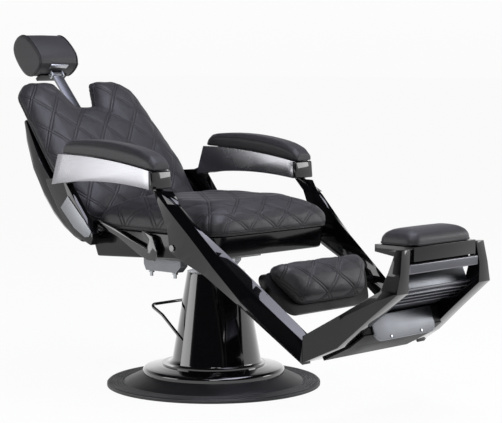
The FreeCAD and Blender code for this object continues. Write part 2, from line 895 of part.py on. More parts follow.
# Back: its plane leans by the recline angle, up runs along it and rear out of its rear face

lean = math.radians(size("recline_angle"))
back_origin = Vector(0, size("back_origin_y"), size("pivot_height + back_rise"))
back_up = Vector(0, math.sin(lean), math.cos(lean))
back_rear = Vector(0, math.cos(lean), -math.sin(lean))
gap = size("seat_gap")
clear = size("running_clearance")


def on_back(across, up, rear):
    """A point given across the back, up along it and out of its rear face."""
    return back_origin + Vector(across, 0, 0) + back_up * up + back_rear * rear


def back_plane(rear):
    """Mapping of a flat outline, across and up, to a plane of the back."""
    return lambda flat: on_back(flat.x, flat.y, rear)


def back_outline(inset):
    """Outline of the upholstered back with its two horns and the notch between."""
    widest = size(f"{arm_inner} - back_side_gap")
    ease = 1 - inset / size("shoulder_run")
    half = [
        (widest - size("back_foot_taper") - inset, size("back_low") + inset, size("back_low_corner")),
        (widest - inset, 0, size("back_waist_round")),
        (widest - size("shoulder_taper") - inset, size("shoulder_low") - inset / 2,
         size("shoulder_round")),
        (widest - size("shoulder_run") - inset / 2, size("horn_top") - inset, size("shoulder_round")),
        (size("notch_mouth") + inset / 2, size("horn_top") - inset, size("horn_round")),
        (size("notch_half_width") + inset, size("notch_bottom") - inset, size("notch_round"))]
    corners = half + [(-u, v, r) for u, v, r in reversed(half)]
    return [(u, v, r * ease) for u, v, r in corners]


# Steps of the back's crown: share of its height, and inset of the outline
BACK_CROWN = ((0.0, 0.0), (0.32, 8.0), (0.60, 18.0), (0.82, 34.0), (1.0, 60.0))
rear_depth = size("back_rear_depth")
back_wires = [rounded_wire(back_outline(size("back_rear_inset")), back_plane(rear_depth)),
              rounded_wire(back_outline(0), back_plane(rear_depth / 2))]
for rise, inset in BACK_CROWN:
    back_wires.append(rounded_wire(back_outline(inset), back_plane(-rise * size("back_crown"))))
shaped("back_cushion", loft(back_wires))

board_front = rear_depth + gap
board_rear = board_front + size("board_thickness")
shaped("back_board", loft([rounded_wire(back_outline(size("board_inset")), back_plane(depth))
                           for depth in (board_front, board_rear)]))

# Rear cover: slices across the back, drawn in towards both edges. Its lower part
# lies between the side arms and its upper part narrows to the top.

cover_start = board_rear + gap
cover_edge = size("back_shell_edge")
cover_widest = size(arm_inner) - gap
cover_narrow = size("back_shell_taper")


def up_the_back(place):
    """Distance of a point up the back from its origin."""
    return (place - back_origin).dot(back_up)


cover_waist = up_the_back(point("cover_mid"))
cover_length = up_the_back(point("cover_top")) - cover_waist


def cover_slice(sign, drawn, skin_names, seat_places):
    """Side profile of part of the cover, its depth drawn in towards its edges."""
    reach = cover_edge * math.sqrt(1 - (1 - drawn) ** 2)
    places = []
    for name in skin_names:
        depth = (point(name) - back_origin).dot(back_rear) - cover_start
        places.append(point(name) - back_rear * (depth * drawn * size("back_shell_drawn")))
    places += seat_places
    wire = []
    for place in places:
        above = max(0.0, up_the_back(place) - cover_waist)
        half = cover_widest - cover_narrow * above / cover_length - cover_edge + reach
        wire.append(Vector(sign * half, place.y, place.z))
    return Part.makePolygon(wire + wire[:1])


def cover_part(skin_names, seat_places):
    """Loft across the back through the slices of one part of the cover."""
    steps = [1.0, 0.6, 0.25, 0.0]
    slices = [cover_slice(-1, drawn, skin_names, seat_places) for drawn in steps]
    slices += [cover_slice(1, drawn, skin_names, seat_places) for drawn in reversed(steps)]
    return loft(slices)


waist_seat = on_back(0, cover_waist, cover_start)
top_seat = on_back(0, cover_waist + cover_length, cover_start)
low_seat = on_back(0, size("back_low + board_inset"), cover_start)
upper_cover = cover_part(("cover_mid", "cover_high", "cover_top"), [top_seat, waist_seat])
lower_cover = cover_part(("cover_mid", "cover_low", "cover_heel", "cover_base", "cover_toe", "cover_tip"),
                         [point("cover_lip"), low_seat, waist_seat])
cover = upper_cover.fuse(lower_cover).removeSplitter()

bar_front = size("bar_depth")
bar_half = size("bar_half_width")
bar_rear = bar_front + size("bar_thickness")
wall = size("socket_wall")
horn_top = size("horn_top")


def back_block(half, low, high, front, rear):
    """Square block in the back's own directions."""
    face = Part.Face(Part.makePolygon([on_back(-half, low, front), on_back(half, low, front),
                                       on_back(half, low, rear), on_back(-half, low, rear),
                                       on_back(-half, low, front)]))
    return face.extrude(back_up * (high - low))


channel_low = size("bar_low - bar_drop") - wall
channel = back_block(bar_half + wall + gap, channel_low, horn_top, 0, bar_rear + wall + gap)
shaped("back_shell", cover.cut(channel))

socket = back_block(bar_half + wall, size("socket_low"), size("socket_top"), cover_start, bar_rear + wall)
slot = back_block(bar_half + clear, 0, horn_top, bar_front - clear, bar_rear + clear)
shaped("headrest_socket", socket.cut(slot))

# Side arms of the back, from the seat pivot up into the armrests

arm_names = ["arm_heel", "arm_rear_low", "arm_rear_mid", "arm_rear_high", "arm_rear_top",
             "arm_top_back", "arm_top"]
arm_rest = ["arm_crotch", "arm_front_mid", "arm_front_low"]
eye_y = "(back_pivot_y + link_rake)"
eye_z = "(pivot_height + link_rise)"
arm_outer = f"{arm_inner} + arm_thickness"
arm_rear_pivot = Vector(0, size(eye_y), size(eye_z))
arm_front_pivot = Vector(0, size("leg_pivot_y + link_rake"), size(eye_z))
leg_pivot = Vector(0, size("leg_pivot_y"), size("pivot_height"))
eye_corners = [(f"{eye_y} + tongue_eye", f"{eye_z} + tongue_eye / 2"),
               (f"{eye_y} + tongue_eye / 2", f"{eye_z} + tongue_eye"),
               (f"{eye_y} - tongue_eye / 2", f"{eye_z} + tongue_eye"),
               (f"{eye_y} - tongue_eye", f"{eye_z} + tongue_eye / 2"),
               (f"{eye_y} - tongue_eye", f"{eye_z} - tongue_eye / 2"),
               (f"{eye_y} - tongue_eye / 2", f"{eye_z} - tongue_eye")]
heel_corners = [("back_pivot_y - back_boss", "pivot_height + back_boss"),
                ("back_pivot_y - back_boss", "pivot_height"),
                ("back_pivot_y - back_boss / 2", "pivot_height - back_boss")]
trunnion_reach = "(armrest_half_width - panel_thickness + trunnion_bite)"
for side, sign in SIDES:
    plate = side_plate(f"arm_plate_{side}", named_corners(arm_names) + eye_corners
                       + named_corners(arm_rest) + heel_corners,
                       arm_inner, "arm_thickness", sign, export=False)
    pivot_bore = rod("back_bore", "pin_radius + running_clearance",
                     "arm_thickness - pin_cover + seat_gap",
                     (f"{sign} * {arm_inner}", "back_pivot_y", "pivot_height"), Vector(sign, 0, 0))
    drilled = joined("Part::Cut", f"arm_drilled_{side}", plate, pivot_bore)
    trunnion = rod("arm_trunnion", "trunnion_radius", f"2 * {trunnion_reach}",
                   (f"{sign} * {armrest_centre} - {trunnion_reach}", eye_y, eye_z), Vector(1, 0, 0))
    keep(joined("Part::Fuse", f"back_arm_{side}", drilled, trunnion), f"back_arm_{side}")
    side_plate(f"back_trim_{side}", named_corners([
        "trim_tip", "trim_rear_high", "trim_rear_low", "trim_foot", "trim_foot_front", "trim_end",
        "trim_front"]), arm_outer, "trim_thickness", sign)

# Headrest on its sliding flat bar

bar_top = size("bar_top")
eye_mid = bar_front + size("bar_thickness") / 2
hinge_centre = on_back(0, bar_top, eye_mid)
hinge_radius = size("hinge_pin_radius")
hinge_half = size("hinge_half_width")
bar_eye = size("bar_eye")
hinge_pin = x_axis_cylinder(hinge_centre, hinge_radius, -hinge_half, hinge_half)
bar = back_block(bar_half, size("bar_low"), bar_top, bar_front, bar_rear)
bar = bar.fuse(x_axis_cylinder(hinge_centre, bar_eye, -bar_half, bar_half)).cut(hinge_pin)
shaped("headrest_bar", bar.removeSplitter())
shaped("headrest_hinge_pin", hinge_pin)

head_low = size("head_low")
head_high = head_low + size("head_height")
head_front = eye_mid - size("head_front_reach")
head_rear = eye_mid + size("head_rear_reach")
seat_of_head = head_low - gap
carrier_low = seat_of_head - size("head_bracket")
carrier = back_block(hinge_half + wall, carrier_low, seat_of_head, head_front + 2 * bar_eye,
                     eye_mid + bar_eye)
for sign in (1, -1):
    ear = back_block(wall / 2, bar_top - bar_eye, carrier_low, eye_mid - bar_eye, eye_mid + bar_eye)
    ear.translate(Vector(sign * (bar_half + gap + wall / 2), 0, 0))
    carrier = carrier.fuse(ear)
carrier = carrier.cut(x_axis_cylinder(hinge_centre, hinge_radius + clear, -hinge_half, hinge_half))
shaped("headrest_bracket", carrier.removeSplitter())
shaped("headrest_shell", back_block(size("head_half_width - 2 * head_round"),
                                    seat_of_head - size("head_shell"), seat_of_head,
                                    eye_mid + bar_eye + gap, head_rear - 2 * wall))


def head_section(across, inset):
    """Rounded cross-section of the head pad at a distance from the middle."""
    corners = [(head_front + inset, head_low + inset, size("head_front_low_round") - inset),
               (head_rear - inset, head_low + inset, size("head_rear_low_round") - inset),
               (head_rear - inset - size("head_rear_slope"), head_high - inset,
                size("head_rear_high_round") - inset),
               (head_front + inset + size("head_front_slope"), head_high - inset,
                size("head_front_high_round") - inset)]
    return rounded_wire(corners, lambda flat: on_back(across, flat.y, flat.x))


# Ends of the head pad: share of the rounding along it, and the section's inset
HEAD_ENDS = ((0.0, 16.0), (0.3, 7.0), (1.0, 0.0))
left_end = [head_section(-size("head_half_width") + share * size("head_round"), inset)
            for share, inset in HEAD_ENDS]
right_end = [head_section(size("head_half_width") - share * size("head_round"), inset)
             for share, inset in reversed(HEAD_ENDS)]
shaped("headrest_pad", loft(left_end + right_end))

# Armrests: a black core casting, two bright side panels and a leather pad

centre_x = size(armrest_centre)
half_x = size("armrest_half_width")
skin = size("panel_thickness")


def curved_panel(x_low):
    """Side panel with its bowed lower and upper edges, cut from plate."""
    rear_low, mid_low, front_low = (point(f"panel_{n}_low", x_low) for n in ("rear", "mid", "front"))
    rear_high, mid_high, front_high = (point(f"panel_{n}_high", x_low) for n in ("rear", "mid", "front"))
    wire = Part.Wire([Part.Arc(rear_low, mid_low, front_low).toShape(),
                      Part.LineSegment(front_low, front_high).toShape(),
                      Part.Arc(front_high, mid_high, rear_high).toShape(),
                      Part.LineSegment(rear_high, rear_low).toShape()])
    return Part.Face(wire).extrude(Vector(skin, 0, 0))


def edge_height(kind, along):
    """Height of a bowed armrest edge at a place along it."""
    names = [f"{kind}_{n}" if kind == "pad" else f"panel_{n}_high" for n in ("rear", "mid", "front")]
    bow = Part.Circle(*(point(n) for n in names))
    return bow.Center.z + math.sqrt(bow.Radius ** 2 - (along - bow.Center.y) ** 2)


def pad_section(along, top_y, inset, sink, middle):
    """Rounded section of an armrest pad, leaning with its rear end."""
    low = edge_height("seam", along) + gap
    high = edge_height("pad", top_y) - sink
    bulge = low + size("pad_bulge") * (high - low)
    wide = half_x - inset
    seam = wide - size("pad_seam_inset")
    top = wide - size("pad_top_inset")
    half = [(seam, low, size("pad_seam_round")), (wide, bulge, size("pad_side_round")),
            (top, high - size("pad_seam_round"), size("pad_top_round"))]
    corners = half + [(-u, v, r) for u, v, r in reversed(half)]

    def to_space(flat):
        share = (flat.y - low) / (high - low)
        return Vector(middle + flat.x, along + share * (top_y - along), flat.y)
    return rounded_wire(corners, to_space)


cap_depth = size("armrest_cap")
front_y = size("panel_front_low_y")
pad_front_y = front_y - cap_depth
rear_low_y, rear_top_y = size("panel_rear_high_y"), size("pad_rear_y")
# Steps along an armrest pad from its rear: share of the length, inset and sink
PAD_STEPS = ((0.0, 10.0, 6.0), (0.04, 2.0, 1.0), (0.10, 0.0, 0.0), (0.19, 0.0, 0.0), (0.28, 0.0, 0.0),
             (0.37, 0.0, 0.0), (0.46, 0.0, 0.0), (0.55, 0.0, 0.0), (0.64, 0.0, 0.0), (0.73, 0.0, 0.0),
             (0.80, 0.0, 0.0), (0.87, 0.0, 1.0), (0.95, 1.0, 6.0), (1.0, 5.0, 18.0))
eye = size("tongue_eye")
core_rear = arm_rear_pivot.y - size("core_setback")
core_front = arm_front_pivot.y + size("core_setback")
for side, sign in SIDES:
    middle = sign * centre_x
    low_x = middle - half_x
    bores = [(arm_front_pivot, clear), (arm_rear_pivot, size("open_pivot_clearance"))]
    reach = size(trunnion_reach) + gap
    for name, x_low in (("outer", low_x if sign < 0 else middle + half_x - skin),
                        ("inner", middle + half_x - skin if sign < 0 else low_x)):
        panel = curved_panel(x_low)
        for pivot, clearance in bores:
            panel = panel.cut(x_axis_cylinder(pivot, size("trunnion_radius") + clearance,
                                              middle - reach, middle + reach))
        shaped(f"armrest_{name}_panel_{side}", panel)
    core_top = min(edge_height("seam", core_front), edge_height("seam", core_rear))
    core = Part.makeBox(2 * (half_x - skin), core_rear - core_front, core_top - arm_rear_pivot.z,
                        Vector(low_x + skin, core_front, arm_rear_pivot.z))
    shaped(f"armrest_core_{side}", core)
    nose_low = point("panel_front_low", low_x)
    nose_high = point("panel_front_high", low_x)
    cap_face = Part.Face(Part.makePolygon([
        nose_low, nose_high, nose_high + Vector(0, size("cap_rake") - cap_depth, -size("cap_drop")),
        nose_low + Vector(0, -cap_depth, 0), nose_low]))
    shaped(f"armrest_cap_{side}", cap_face.extrude(Vector(2 * half_x, 0, 0)))
    sections = []
    for share, inset, sink in PAD_STEPS:
        along = rear_low_y + share * (pad_front_y - rear_low_y)
        lean_back = (1 - share) ** 4 * (rear_top_y - rear_low_y)
        sections.append(pad_section(along, along + lean_back, inset, sink, middle))
    shaped(f"armrest_pad_{side}", loft(sections))

# Leg frame, built on the left and mirrored

bend_y = size("bend_y")


def ridge_x(along):
    """Distance from the middle of the beam's outer ridge."""
    return size(ridge_half_width) + (along - bend_y) * size("ridge_toe_in")


def beam_inner_x(along):
    """Distance from the middle of the beam's inner face."""
    return size(beam_inner_half_width) + (along - bend_y) * size("beam_inner_toe_in")


def foot_x(along, depth):
    """Distance from the middle of the foot arm, a depth in from its outer face."""
    outer = size(beam_inner_half_width) - gap
    return outer + (along - bend_y) * size("foot_toe_in") - depth


def beam_station(name):
    """Five-sided section of the beam: bevel, outer face, upper face and inner face."""
    low, crease, ridge, edge = (point(f"{name}_{part}") for part in ("low", "crease", "ridge", "edge"))
    places = [Vector(ridge_x(low.y) - size("lower_bevel"), low.y, low.z),
              Vector(ridge_x(crease.y), crease.y, crease.z),
              Vector(ridge_x(ridge.y) - size("ridge_lean"), ridge.y, ridge.z),
              Vector(beam_inner_x(edge.y), edge.y, edge.z),
              Vector(beam_inner_x(low.y), low.y, low.z)]
    return Part.makePolygon(places + places[:1])


BEAM = ("beam_top", "gusset_top", "gusset_back", "gusset_foot", "beam_mid", "beam_low", "beam_end")
beam = loft([beam_station(name) for name in BEAM])
tongue = size("tongue_half_width")
eye_front = Vector(0, -eye, 0)
neck_places = [arm_front_pivot - eye_front, arm_front_pivot + eye_front,
               arm_front_pivot + eye_front + Vector(0, 0, -eye), point("neck_front"), point("neck_back")]
neck_places = [Vector(centre_x - tongue, place.y, place.z) for place in neck_places]
neck = Part.Face(Part.makePolygon(neck_places + neck_places[:1])).extrude(Vector(2 * tongue, 0, 0))
trunnion_half = size(trunnion_reach)
beam = beam.fuse([neck, x_axis_cylinder(arm_front_pivot, eye, centre_x - tongue, centre_x + tongue),
                  x_axis_cylinder(arm_front_pivot, size("trunnion_radius"),
                                  centre_x - trunnion_half, centre_x + trunnion_half)])
pin_end = size(f"{beam_outer_at} - pin_cover + seat_gap")
beam = beam.cut(x_axis_cylinder(leg_pivot, size("pin_radius + running_clearance"), 0, pin_end))


def foot_station(name, outer_depth, inner_depth):
    """Four-sided section of the foot arm."""
    low, high = point(f"{name}_low"), point(f"{name}_high")
    places = [Vector(foot_x(low.y, outer_depth), low.y, low.z),
              Vector(foot_x(high.y, outer_depth), high.y, high.z),
              Vector(foot_x(high.y, inner_depth), high.y, high.z),
              Vector(foot_x(low.y, inner_depth), low.y, low.z)]
    return Part.makePolygon(places + places[:1])


foot_depth = size("foot_arm_thickness")
lean_depth = size("post_lean")
FOOT_ARM = (("heel", -size("heel_flare"), foot_depth), ("sole", 0, foot_depth), ("arch", 0, foot_depth),
            ("knee", 0, foot_depth), ("post", lean_depth / 2, foot_depth),
            ("post_top", lean_depth, size("post_top_depth")))
foot_arm = loft([foot_station(*station) for station in FOOT_ARM])

mirror_plane = (Vector(), Vector(1, 0, 0))
for label, solid in (("side_beam", beam), ("foot_arm", foot_arm)):
    shaped(f"{label}_left", solid)
    shaped(f"{label}_right", solid.mirror(*mirror_plane))


def between_arms(first, second, thickness):
    """Sheet spanning the foot arms from one side-outline point to another."""
    run = (second - first).normalize()
    first_half = foot_x(first.y, foot_depth) - gap
    second_half = foot_x(second.y, foot_depth) - gap
    face = Part.Face(Part.makePolygon([
        first + Vector(-first_half, 0, 0), first + Vector(first_half, 0, 0),
        second + Vector(second_half, 0, 0), second + Vector(-second_half, 0, 0),
        first + Vector(-first_half, 0, 0)]))
    return face.extrude(Vector(0, run.z, -run.y) * thickness)


sheet_depth = size("sheet_thickness")


def post_inner_depth(height):
    """Depth of the inner face of a foot arm's leaning post at a height."""
    share = (height - point("post_low").z) / size("post_top_low_z - post_low_z")
    return foot_depth + share * (size("post_top_depth") - foot_depth)


crossbar_top = size("pivot_height + crossbar_low_z + crossbar_height")
crossbar_half = foot_x(size("crossbar_low_y"), post_inner_depth(crossbar_top)) - gap
shaped("foot_crossbar", Part.makeBox(2 * crossbar_half, size("crossbar_depth"), size("crossbar_height"),
                                     point("crossbar_low", -crossbar_half)))

# Tread between the foot arms, ribbed underneath, its top sunk below their upper edges,
# and the kick panel that stands on it
tread_run = (point("kick_low") - point("heel_high")).normalize()
tread_up = Vector(0, tread_run.z, -tread_run.y)
kick_run = (point("kick_top") - point("kick_low")).normalize()
kick_foot = point("kick_low") - kick_run * (size("tread_sink") / kick_run.dot(tread_up) - gap)
shaped("kick_panel", between_arms(kick_foot, point("kick_top"), sheet_depth))
sink = size("tread_sink") + sheet_depth
tread_start = point("heel_high") - tread_up * sink
tread_end = point("kick_low") + tread_run * size("tread_lap") - tread_up * sink
shaped("foot_tread", between_arms(tread_start, tread_end, sheet_depth))
rib_count = 4
ribs = []
for number in range(rib_count):
    root = tread_end - tread_run * size(f"rib_end + {number} * rib_pitch")
    ribs.append(between_arms(root - tread_up * size("rib_height"), root, size("rib_thickness")))
shaped("tread_ribs", Part.makeCompound(ribs))

# Toe plate in front of a bent bottom plate that runs from the bend up to the tread,
# with a heel wall that closes the space between them
toe_low = point("toe_low")
toe_half = size("toe_half_width")
toe_round = size("toe_round")
toe_run = (point("toe_top") - toe_low).normalize()
toe_height = ((tread_start - toe_low).dot(tread_up) - gap) / toe_run.dot(tread_up) - size("rib_height")
toe_behind = Vector(0, toe_run.z, -toe_run.y)
toe_wire = rounded_wire([(-toe_half, 0, toe_round), (toe_half, 0, toe_round),
                         (toe_half, toe_height, sheet_depth), (-toe_half, toe_height, sheet_depth)],
                        lambda flat: toe_low + Vector(flat.x, 0, 0) + toe_run * flat.y)
shaped("toe_plate", Part.Face(toe_wire).extrude(toe_behind * sheet_depth))
bottom_front = toe_low + toe_run * toe_round + toe_behind * (sheet_depth + gap)
sole_front = bottom_front + toe_behind * size("sole_setback")
sole = between_arms(sole_front, point("sole_low"), sheet_depth)
sole = sole.fuse(between_arms(point("sole_low"), point("heel_low"), sheet_depth))
toe_wall_top = toe_low + toe_run * toe_height + toe_behind * (sheet_depth + gap)
sole = sole.fuse(between_arms(bottom_front, toe_wall_top, sheet_depth))
heel_inset = Vector(0, -sheet_depth, 0)
heel_top = tread_start - tread_up * 4 * gap + heel_inset
sole = sole.fuse(between_arms(point("heel_low") + heel_inset, heel_top, sheet_depth))
shaped("bottom_plate", sole.removeSplitter())
screw_radius = size("screw_radius")
screws = []
for side, sign in SIDES:
    head = toe_low + Vector(sign * toe_half / 2, 0, 0) + toe_run * 2 * screw_radius
    screws.append(Part.makeCylinder(screw_radius, screw_radius / 2, head, toe_behind * -1))
shaped("toe_screws", Part.makeCompound(screws))

# Calf rest between the side beams

calf_lean = math.radians(size("calf_lean"))
calf_down = Vector(0, -math.sin(calf_lean), -math.cos(calf_lean))
calf_face = Vector(0, calf_down.z, -calf_down.y)
calf_top = point("calf_top")
calf_depth = size("calf_thickness")


def calf_outline(inset, grow=0.0):
    """Plan of the calf cushion: wide at the knee and rounded towards the foot."""
    wide = size("calf_half_width") - inset
    narrow = size("calf_low_half_width") - inset + grow
    low = -size("calf_height") + inset - grow
    corner = size("calf_corner")
    top = -inset if grow == 0 else -size("calf_shell_top")
    top_corner = size("calf_top_corner") - inset * 0.6
    return [(-wide - grow, top, top_corner), (-narrow, low, corner), (narrow, low, corner),
            (wide + grow, top, top_corner)]


def calf_plane(front):
    """Mapping of a flat outline to a plane of the calf rest."""
    return lambda flat: calf_top + Vector(flat.x, 0, 0) - calf_down * flat.y + calf_face * front


calf_wires = []
for rise, drawn in CROWN:
    calf_wires.append(rounded_wire(calf_outline(drawn * 0.7 * calf_depth), calf_plane(rise * calf_depth)))
shaped("calf_cushion", loft(calf_wires))
margin = size("calf_shell_margin")
shell_back = -size("calf_shell_depth")
# Steps of the calf shell: share of its depth, and share of its margin round the cushion
CALF_SHELL = ((0.0, 1.0), (0.35, 0.8), (0.75, 0.0), (1.0, -1.2))
calf_shell = loft([rounded_wire(calf_outline(0, grow * margin), calf_plane(-gap + share * shell_back))
                   for share, grow in CALF_SHELL])
calf_bar = calf_top + calf_down * size("calf_bar_down") - calf_face * size("calf_bar_depth")
bar_radius = size("calf_bar_radius")
bar_reach = beam_inner_x(calf_bar.y - bar_radius) - gap
calf_shell = calf_shell.fuse(x_axis_cylinder(calf_bar, bar_radius, -bar_reach, bar_reach))
shaped("calf_shell", calf_shell.removeSplitter())

# Foot pad on a tray that swings on two stub pins between the posts

tray_low = size("pivot_height + tray_rise")
tray_top = tray_low + size("tray_height")
tray_half = size("tray_half_width")
tray_y = (size("tray_front"), size("tray_front + tray_length"))
tray_face = Part.Face(Part.makePolygon([
    Vector(-tray_half, tray_y[0], tray_low), Vector(-tray_half, tray_y[1], tray_low + size("tray_rear_lift")),
    Vector(-tray_half, tray_y[1], tray_top), Vector(-tray_half, tray_y[0], tray_top),
    Vector(-tray_half, tray_y[0], tray_low)]))
tray = tray_face.extrude(Vector(2 * tray_half, 0, 0))
tray_pin = Vector(0, size("tray_pin_y"), size("pivot_height + tray_pin_rise"))
pin_reach = foot_x(tray_pin.y, post_inner_depth(tray_pin.z + size("tray_pin_radius"))) - gap
tray = tray.fuse(x_axis_cylinder(tray_pin, size("tray_pin_radius"), -pin_reach, pin_reach))
# A lip under the tray closes the slot above the crossbar
lip_y = size("crossbar_low_y + crossbar_depth + tray_lip_setback")
lip_low = crossbar_top - size("tray_lip_lap")
lip = Part.makeBox(2 * tray_half, sheet_depth, tray_top - lip_low, Vector(-tray_half, lip_y, lip_low))
tray = tray.fuse(lip)
shaped("foot_tray", tray.removeSplitter())
pad_levels = []
for rise, drawn in CROWN:
    roll = drawn * size("foot_pad_height")
    corner = size("foot_pad_rounding") * (size("tray_length") / 2 - roll)
    pad_levels.append((tray_half - roll, tray_y[0] + roll, corner, tray_y[1] - roll, corner,
                       tray_top + gap + rise * size("foot_pad_height")))
shaped("foot_cushion", pillow(pad_levels))

# Check every object, then write each sub-part

doc.recompute()
for thing in doc.Objects:
    if "Invalid" in thing.State or "Error" in thing.State:
        raise RuntimeError(f"{thing.Label} failed: {thing.State}")
broken = [thing.Label for thing in subparts
          if thing.Shape.isNull() or not thing.Shape.isValid() or not thing.Shape.Solids]
if broken:
    raise RuntimeError("no valid solid: " + ", ".join(broken))

os.makedirs("parts", exist_ok=True)
for thing in subparts:
    thing.Shape.exportStep(f"parts/{thing.Label}.step")
print(len(subparts), "sub-parts written")
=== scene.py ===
# %% [markdown]
# # Reclining barber chair
# The chair's solids come from the CAD frame, in metres, with the sitter facing -Y.
# This lesson dresses them: lacquer, satin metal and leather, softened edges on the hard
# parts, and real stuffed cushions in place of the plain CAD blocks.

# %% Load the frame
import json
import math

import bmesh
import bpy
import numpy as np
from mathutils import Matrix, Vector
from mathutils.bvhtree import BVHTree
from mathutils.geometry import barycentric_transform


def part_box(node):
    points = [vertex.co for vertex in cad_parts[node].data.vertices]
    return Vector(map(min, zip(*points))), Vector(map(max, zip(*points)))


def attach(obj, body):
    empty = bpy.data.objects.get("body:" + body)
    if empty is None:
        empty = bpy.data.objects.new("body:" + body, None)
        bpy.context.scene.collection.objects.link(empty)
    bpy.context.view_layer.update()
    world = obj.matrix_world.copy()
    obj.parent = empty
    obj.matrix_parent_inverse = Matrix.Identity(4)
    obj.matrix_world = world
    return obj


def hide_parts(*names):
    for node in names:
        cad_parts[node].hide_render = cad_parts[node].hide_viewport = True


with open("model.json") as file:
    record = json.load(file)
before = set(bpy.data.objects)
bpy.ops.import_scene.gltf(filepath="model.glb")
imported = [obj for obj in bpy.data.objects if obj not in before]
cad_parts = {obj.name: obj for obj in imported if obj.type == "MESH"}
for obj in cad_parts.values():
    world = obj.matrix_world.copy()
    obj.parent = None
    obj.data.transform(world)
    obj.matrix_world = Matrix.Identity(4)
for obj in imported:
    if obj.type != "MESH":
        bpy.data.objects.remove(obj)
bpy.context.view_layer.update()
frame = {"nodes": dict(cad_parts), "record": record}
record = frame["record"]
scene = bpy.context.scene
MM = 0.001
body_of_node = {node: body for body, nodes in record["behaviour"]["bodies"].items() for node in nodes}
slot_of_node = {part["node"]: part["material_slot"] for part in record["subparts"]}

# %% [markdown]
# ## Camera and studio
# The photograph was taken with a long lens from the chair's right front. The same lens and
# place are set here, so that the render can be laid over the photograph.
# Gloss black shows nothing but what it reflects, so the studio is as much part of the look
# as the paint: a white floor and backdrop, a dark ceiling, a dim room behind the camera, and
# large soft boxes.

# %% Camera
SENSOR_MM = 36.0
LENS_MM = 125.66
CAMERA_PLACE = (-3.64542, -3.48692, 0.94755)
CAMERA_DEGREES = (84.95, 0.08, -47.52)
camera_data = bpy.data.cameras.new("camera")
camera_data.sensor_width = SENSOR_MM
camera_data.lens = LENS_MM
camera = bpy.data.objects.new("camera", camera_data)
camera.location = CAMERA_PLACE
camera.rotation_euler = [math.radians(angle) for angle in CAMERA_DEGREES]
scene.collection.objects.link(camera)
scene.camera = camera
scene.view_settings.view_transform = "Standard"
print("camera lens", camera_data.lens)

# %% Node helper and colours


def add(tree, kind, inputs=None, **settings):
    """Add a node, set its properties, then set or link its inputs by name or number."""
    made = tree.nodes.new(kind)
    for name, value in settings.items():
        setattr(made, name, value)
    for name, value in (inputs or {}).items():
        if isinstance(value, bpy.types.NodeSocket):
            tree.links.new(value, made.inputs[name])
        else:
            made.inputs[name].default_value = value
    return made


def colour(code):
    """Linear RGBA from an sRGB hex code."""
    channels = [int(code[place:place + 2], 16) / 255 for place in (1, 3, 5)]
    return [c / 12.92 if c <= 0.04045 else ((c + 0.055) / 1.055) ** 2.4 for c in channels] + [1.0]


print("middle grey in linear light", round(colour("#808080")[0], 3))

# %% What counts as shown


def shown_rays(tree):
    """1 for rays of the camera, of gloss and of glass, 0 for those that only carry light."""
    rays = add(tree, "ShaderNodeLightPath")
    seen = add(tree, "ShaderNodeMath", {0: rays.outputs["Is Camera Ray"], 1: rays.outputs["Is Glossy Ray"]},
               operation="MAXIMUM")
    shown = add(tree, "ShaderNodeMath", {0: seen.outputs[0], 1: rays.outputs["Is Transmission Ray"]},
                operation="MAXIMUM")
    return shown.outputs[0]


# %% World: a white backdrop, a dark ceiling and a dim room behind the camera
WHITE = "#ffffff"
HORIZON = "#fbfbfb"
DIM_ROOM = "#2c2c30"
# Heights of the sky, from 0 at the horizon to 1 overhead
WHITE_HEIGHTS = (0.10, 0.22)
CEILING_HEIGHT = 0.60
# The backdrop's direction, and how far a direction leans to it where the room is dim or lit
BACKDROP_WAY = (0.722, 0.692, 0.0)
DIM_LEAN = -0.55
LIT_LEAN = -0.15
WORLD_LIGHT = 0.6
world = bpy.data.worlds.new("studio")
world.use_nodes = True
scene.world = world
sky = world.node_tree
sky.nodes.clear()
way = add(sky, "ShaderNodeTexCoord")
split = add(sky, "ShaderNodeSeparateXYZ", {"Vector": way.outputs["Generated"]})
height = add(sky, "ShaderNodeValToRGB", {"Fac": split.outputs["Z"]})
height.color_ramp.elements[0].color = colour(HORIZON)
height.color_ramp.elements[1].position = CEILING_HEIGHT
height.color_ramp.elements[1].color = colour(DIM_ROOM)
for step in WHITE_HEIGHTS:
    height.color_ramp.elements.new(step).color = colour(WHITE)
facing = add(sky, "ShaderNodeVectorMath", {0: way.outputs["Generated"], 1: BACKDROP_WAY},
             operation="DOT_PRODUCT")
lit = add(sky, "ShaderNodeMapRange", {"Value": facing.outputs["Value"], "From Min": DIM_LEAN,
                                      "From Max": LIT_LEAN})
room = add(sky, "ShaderNodeMix", {"Factor": lit.outputs[0], "A": colour(DIM_ROOM),
                                  "B": height.outputs["Color"]}, data_type="RGBA")
level = add(sky, "ShaderNodeMapRange", {"Value": shown_rays(sky), "To Min": WORLD_LIGHT, "To Max": 1.0})
light = add(sky, "ShaderNodeBackground", {"Color": room.outputs[2],
                                          "Strength": level.outputs["Result"]})
add(sky, "ShaderNodeOutputWorld", {"Surface": light.outputs["Background"]})
print("world nodes", len(sky.nodes))

# %% Floor
FLOOR_REACH = 60.0
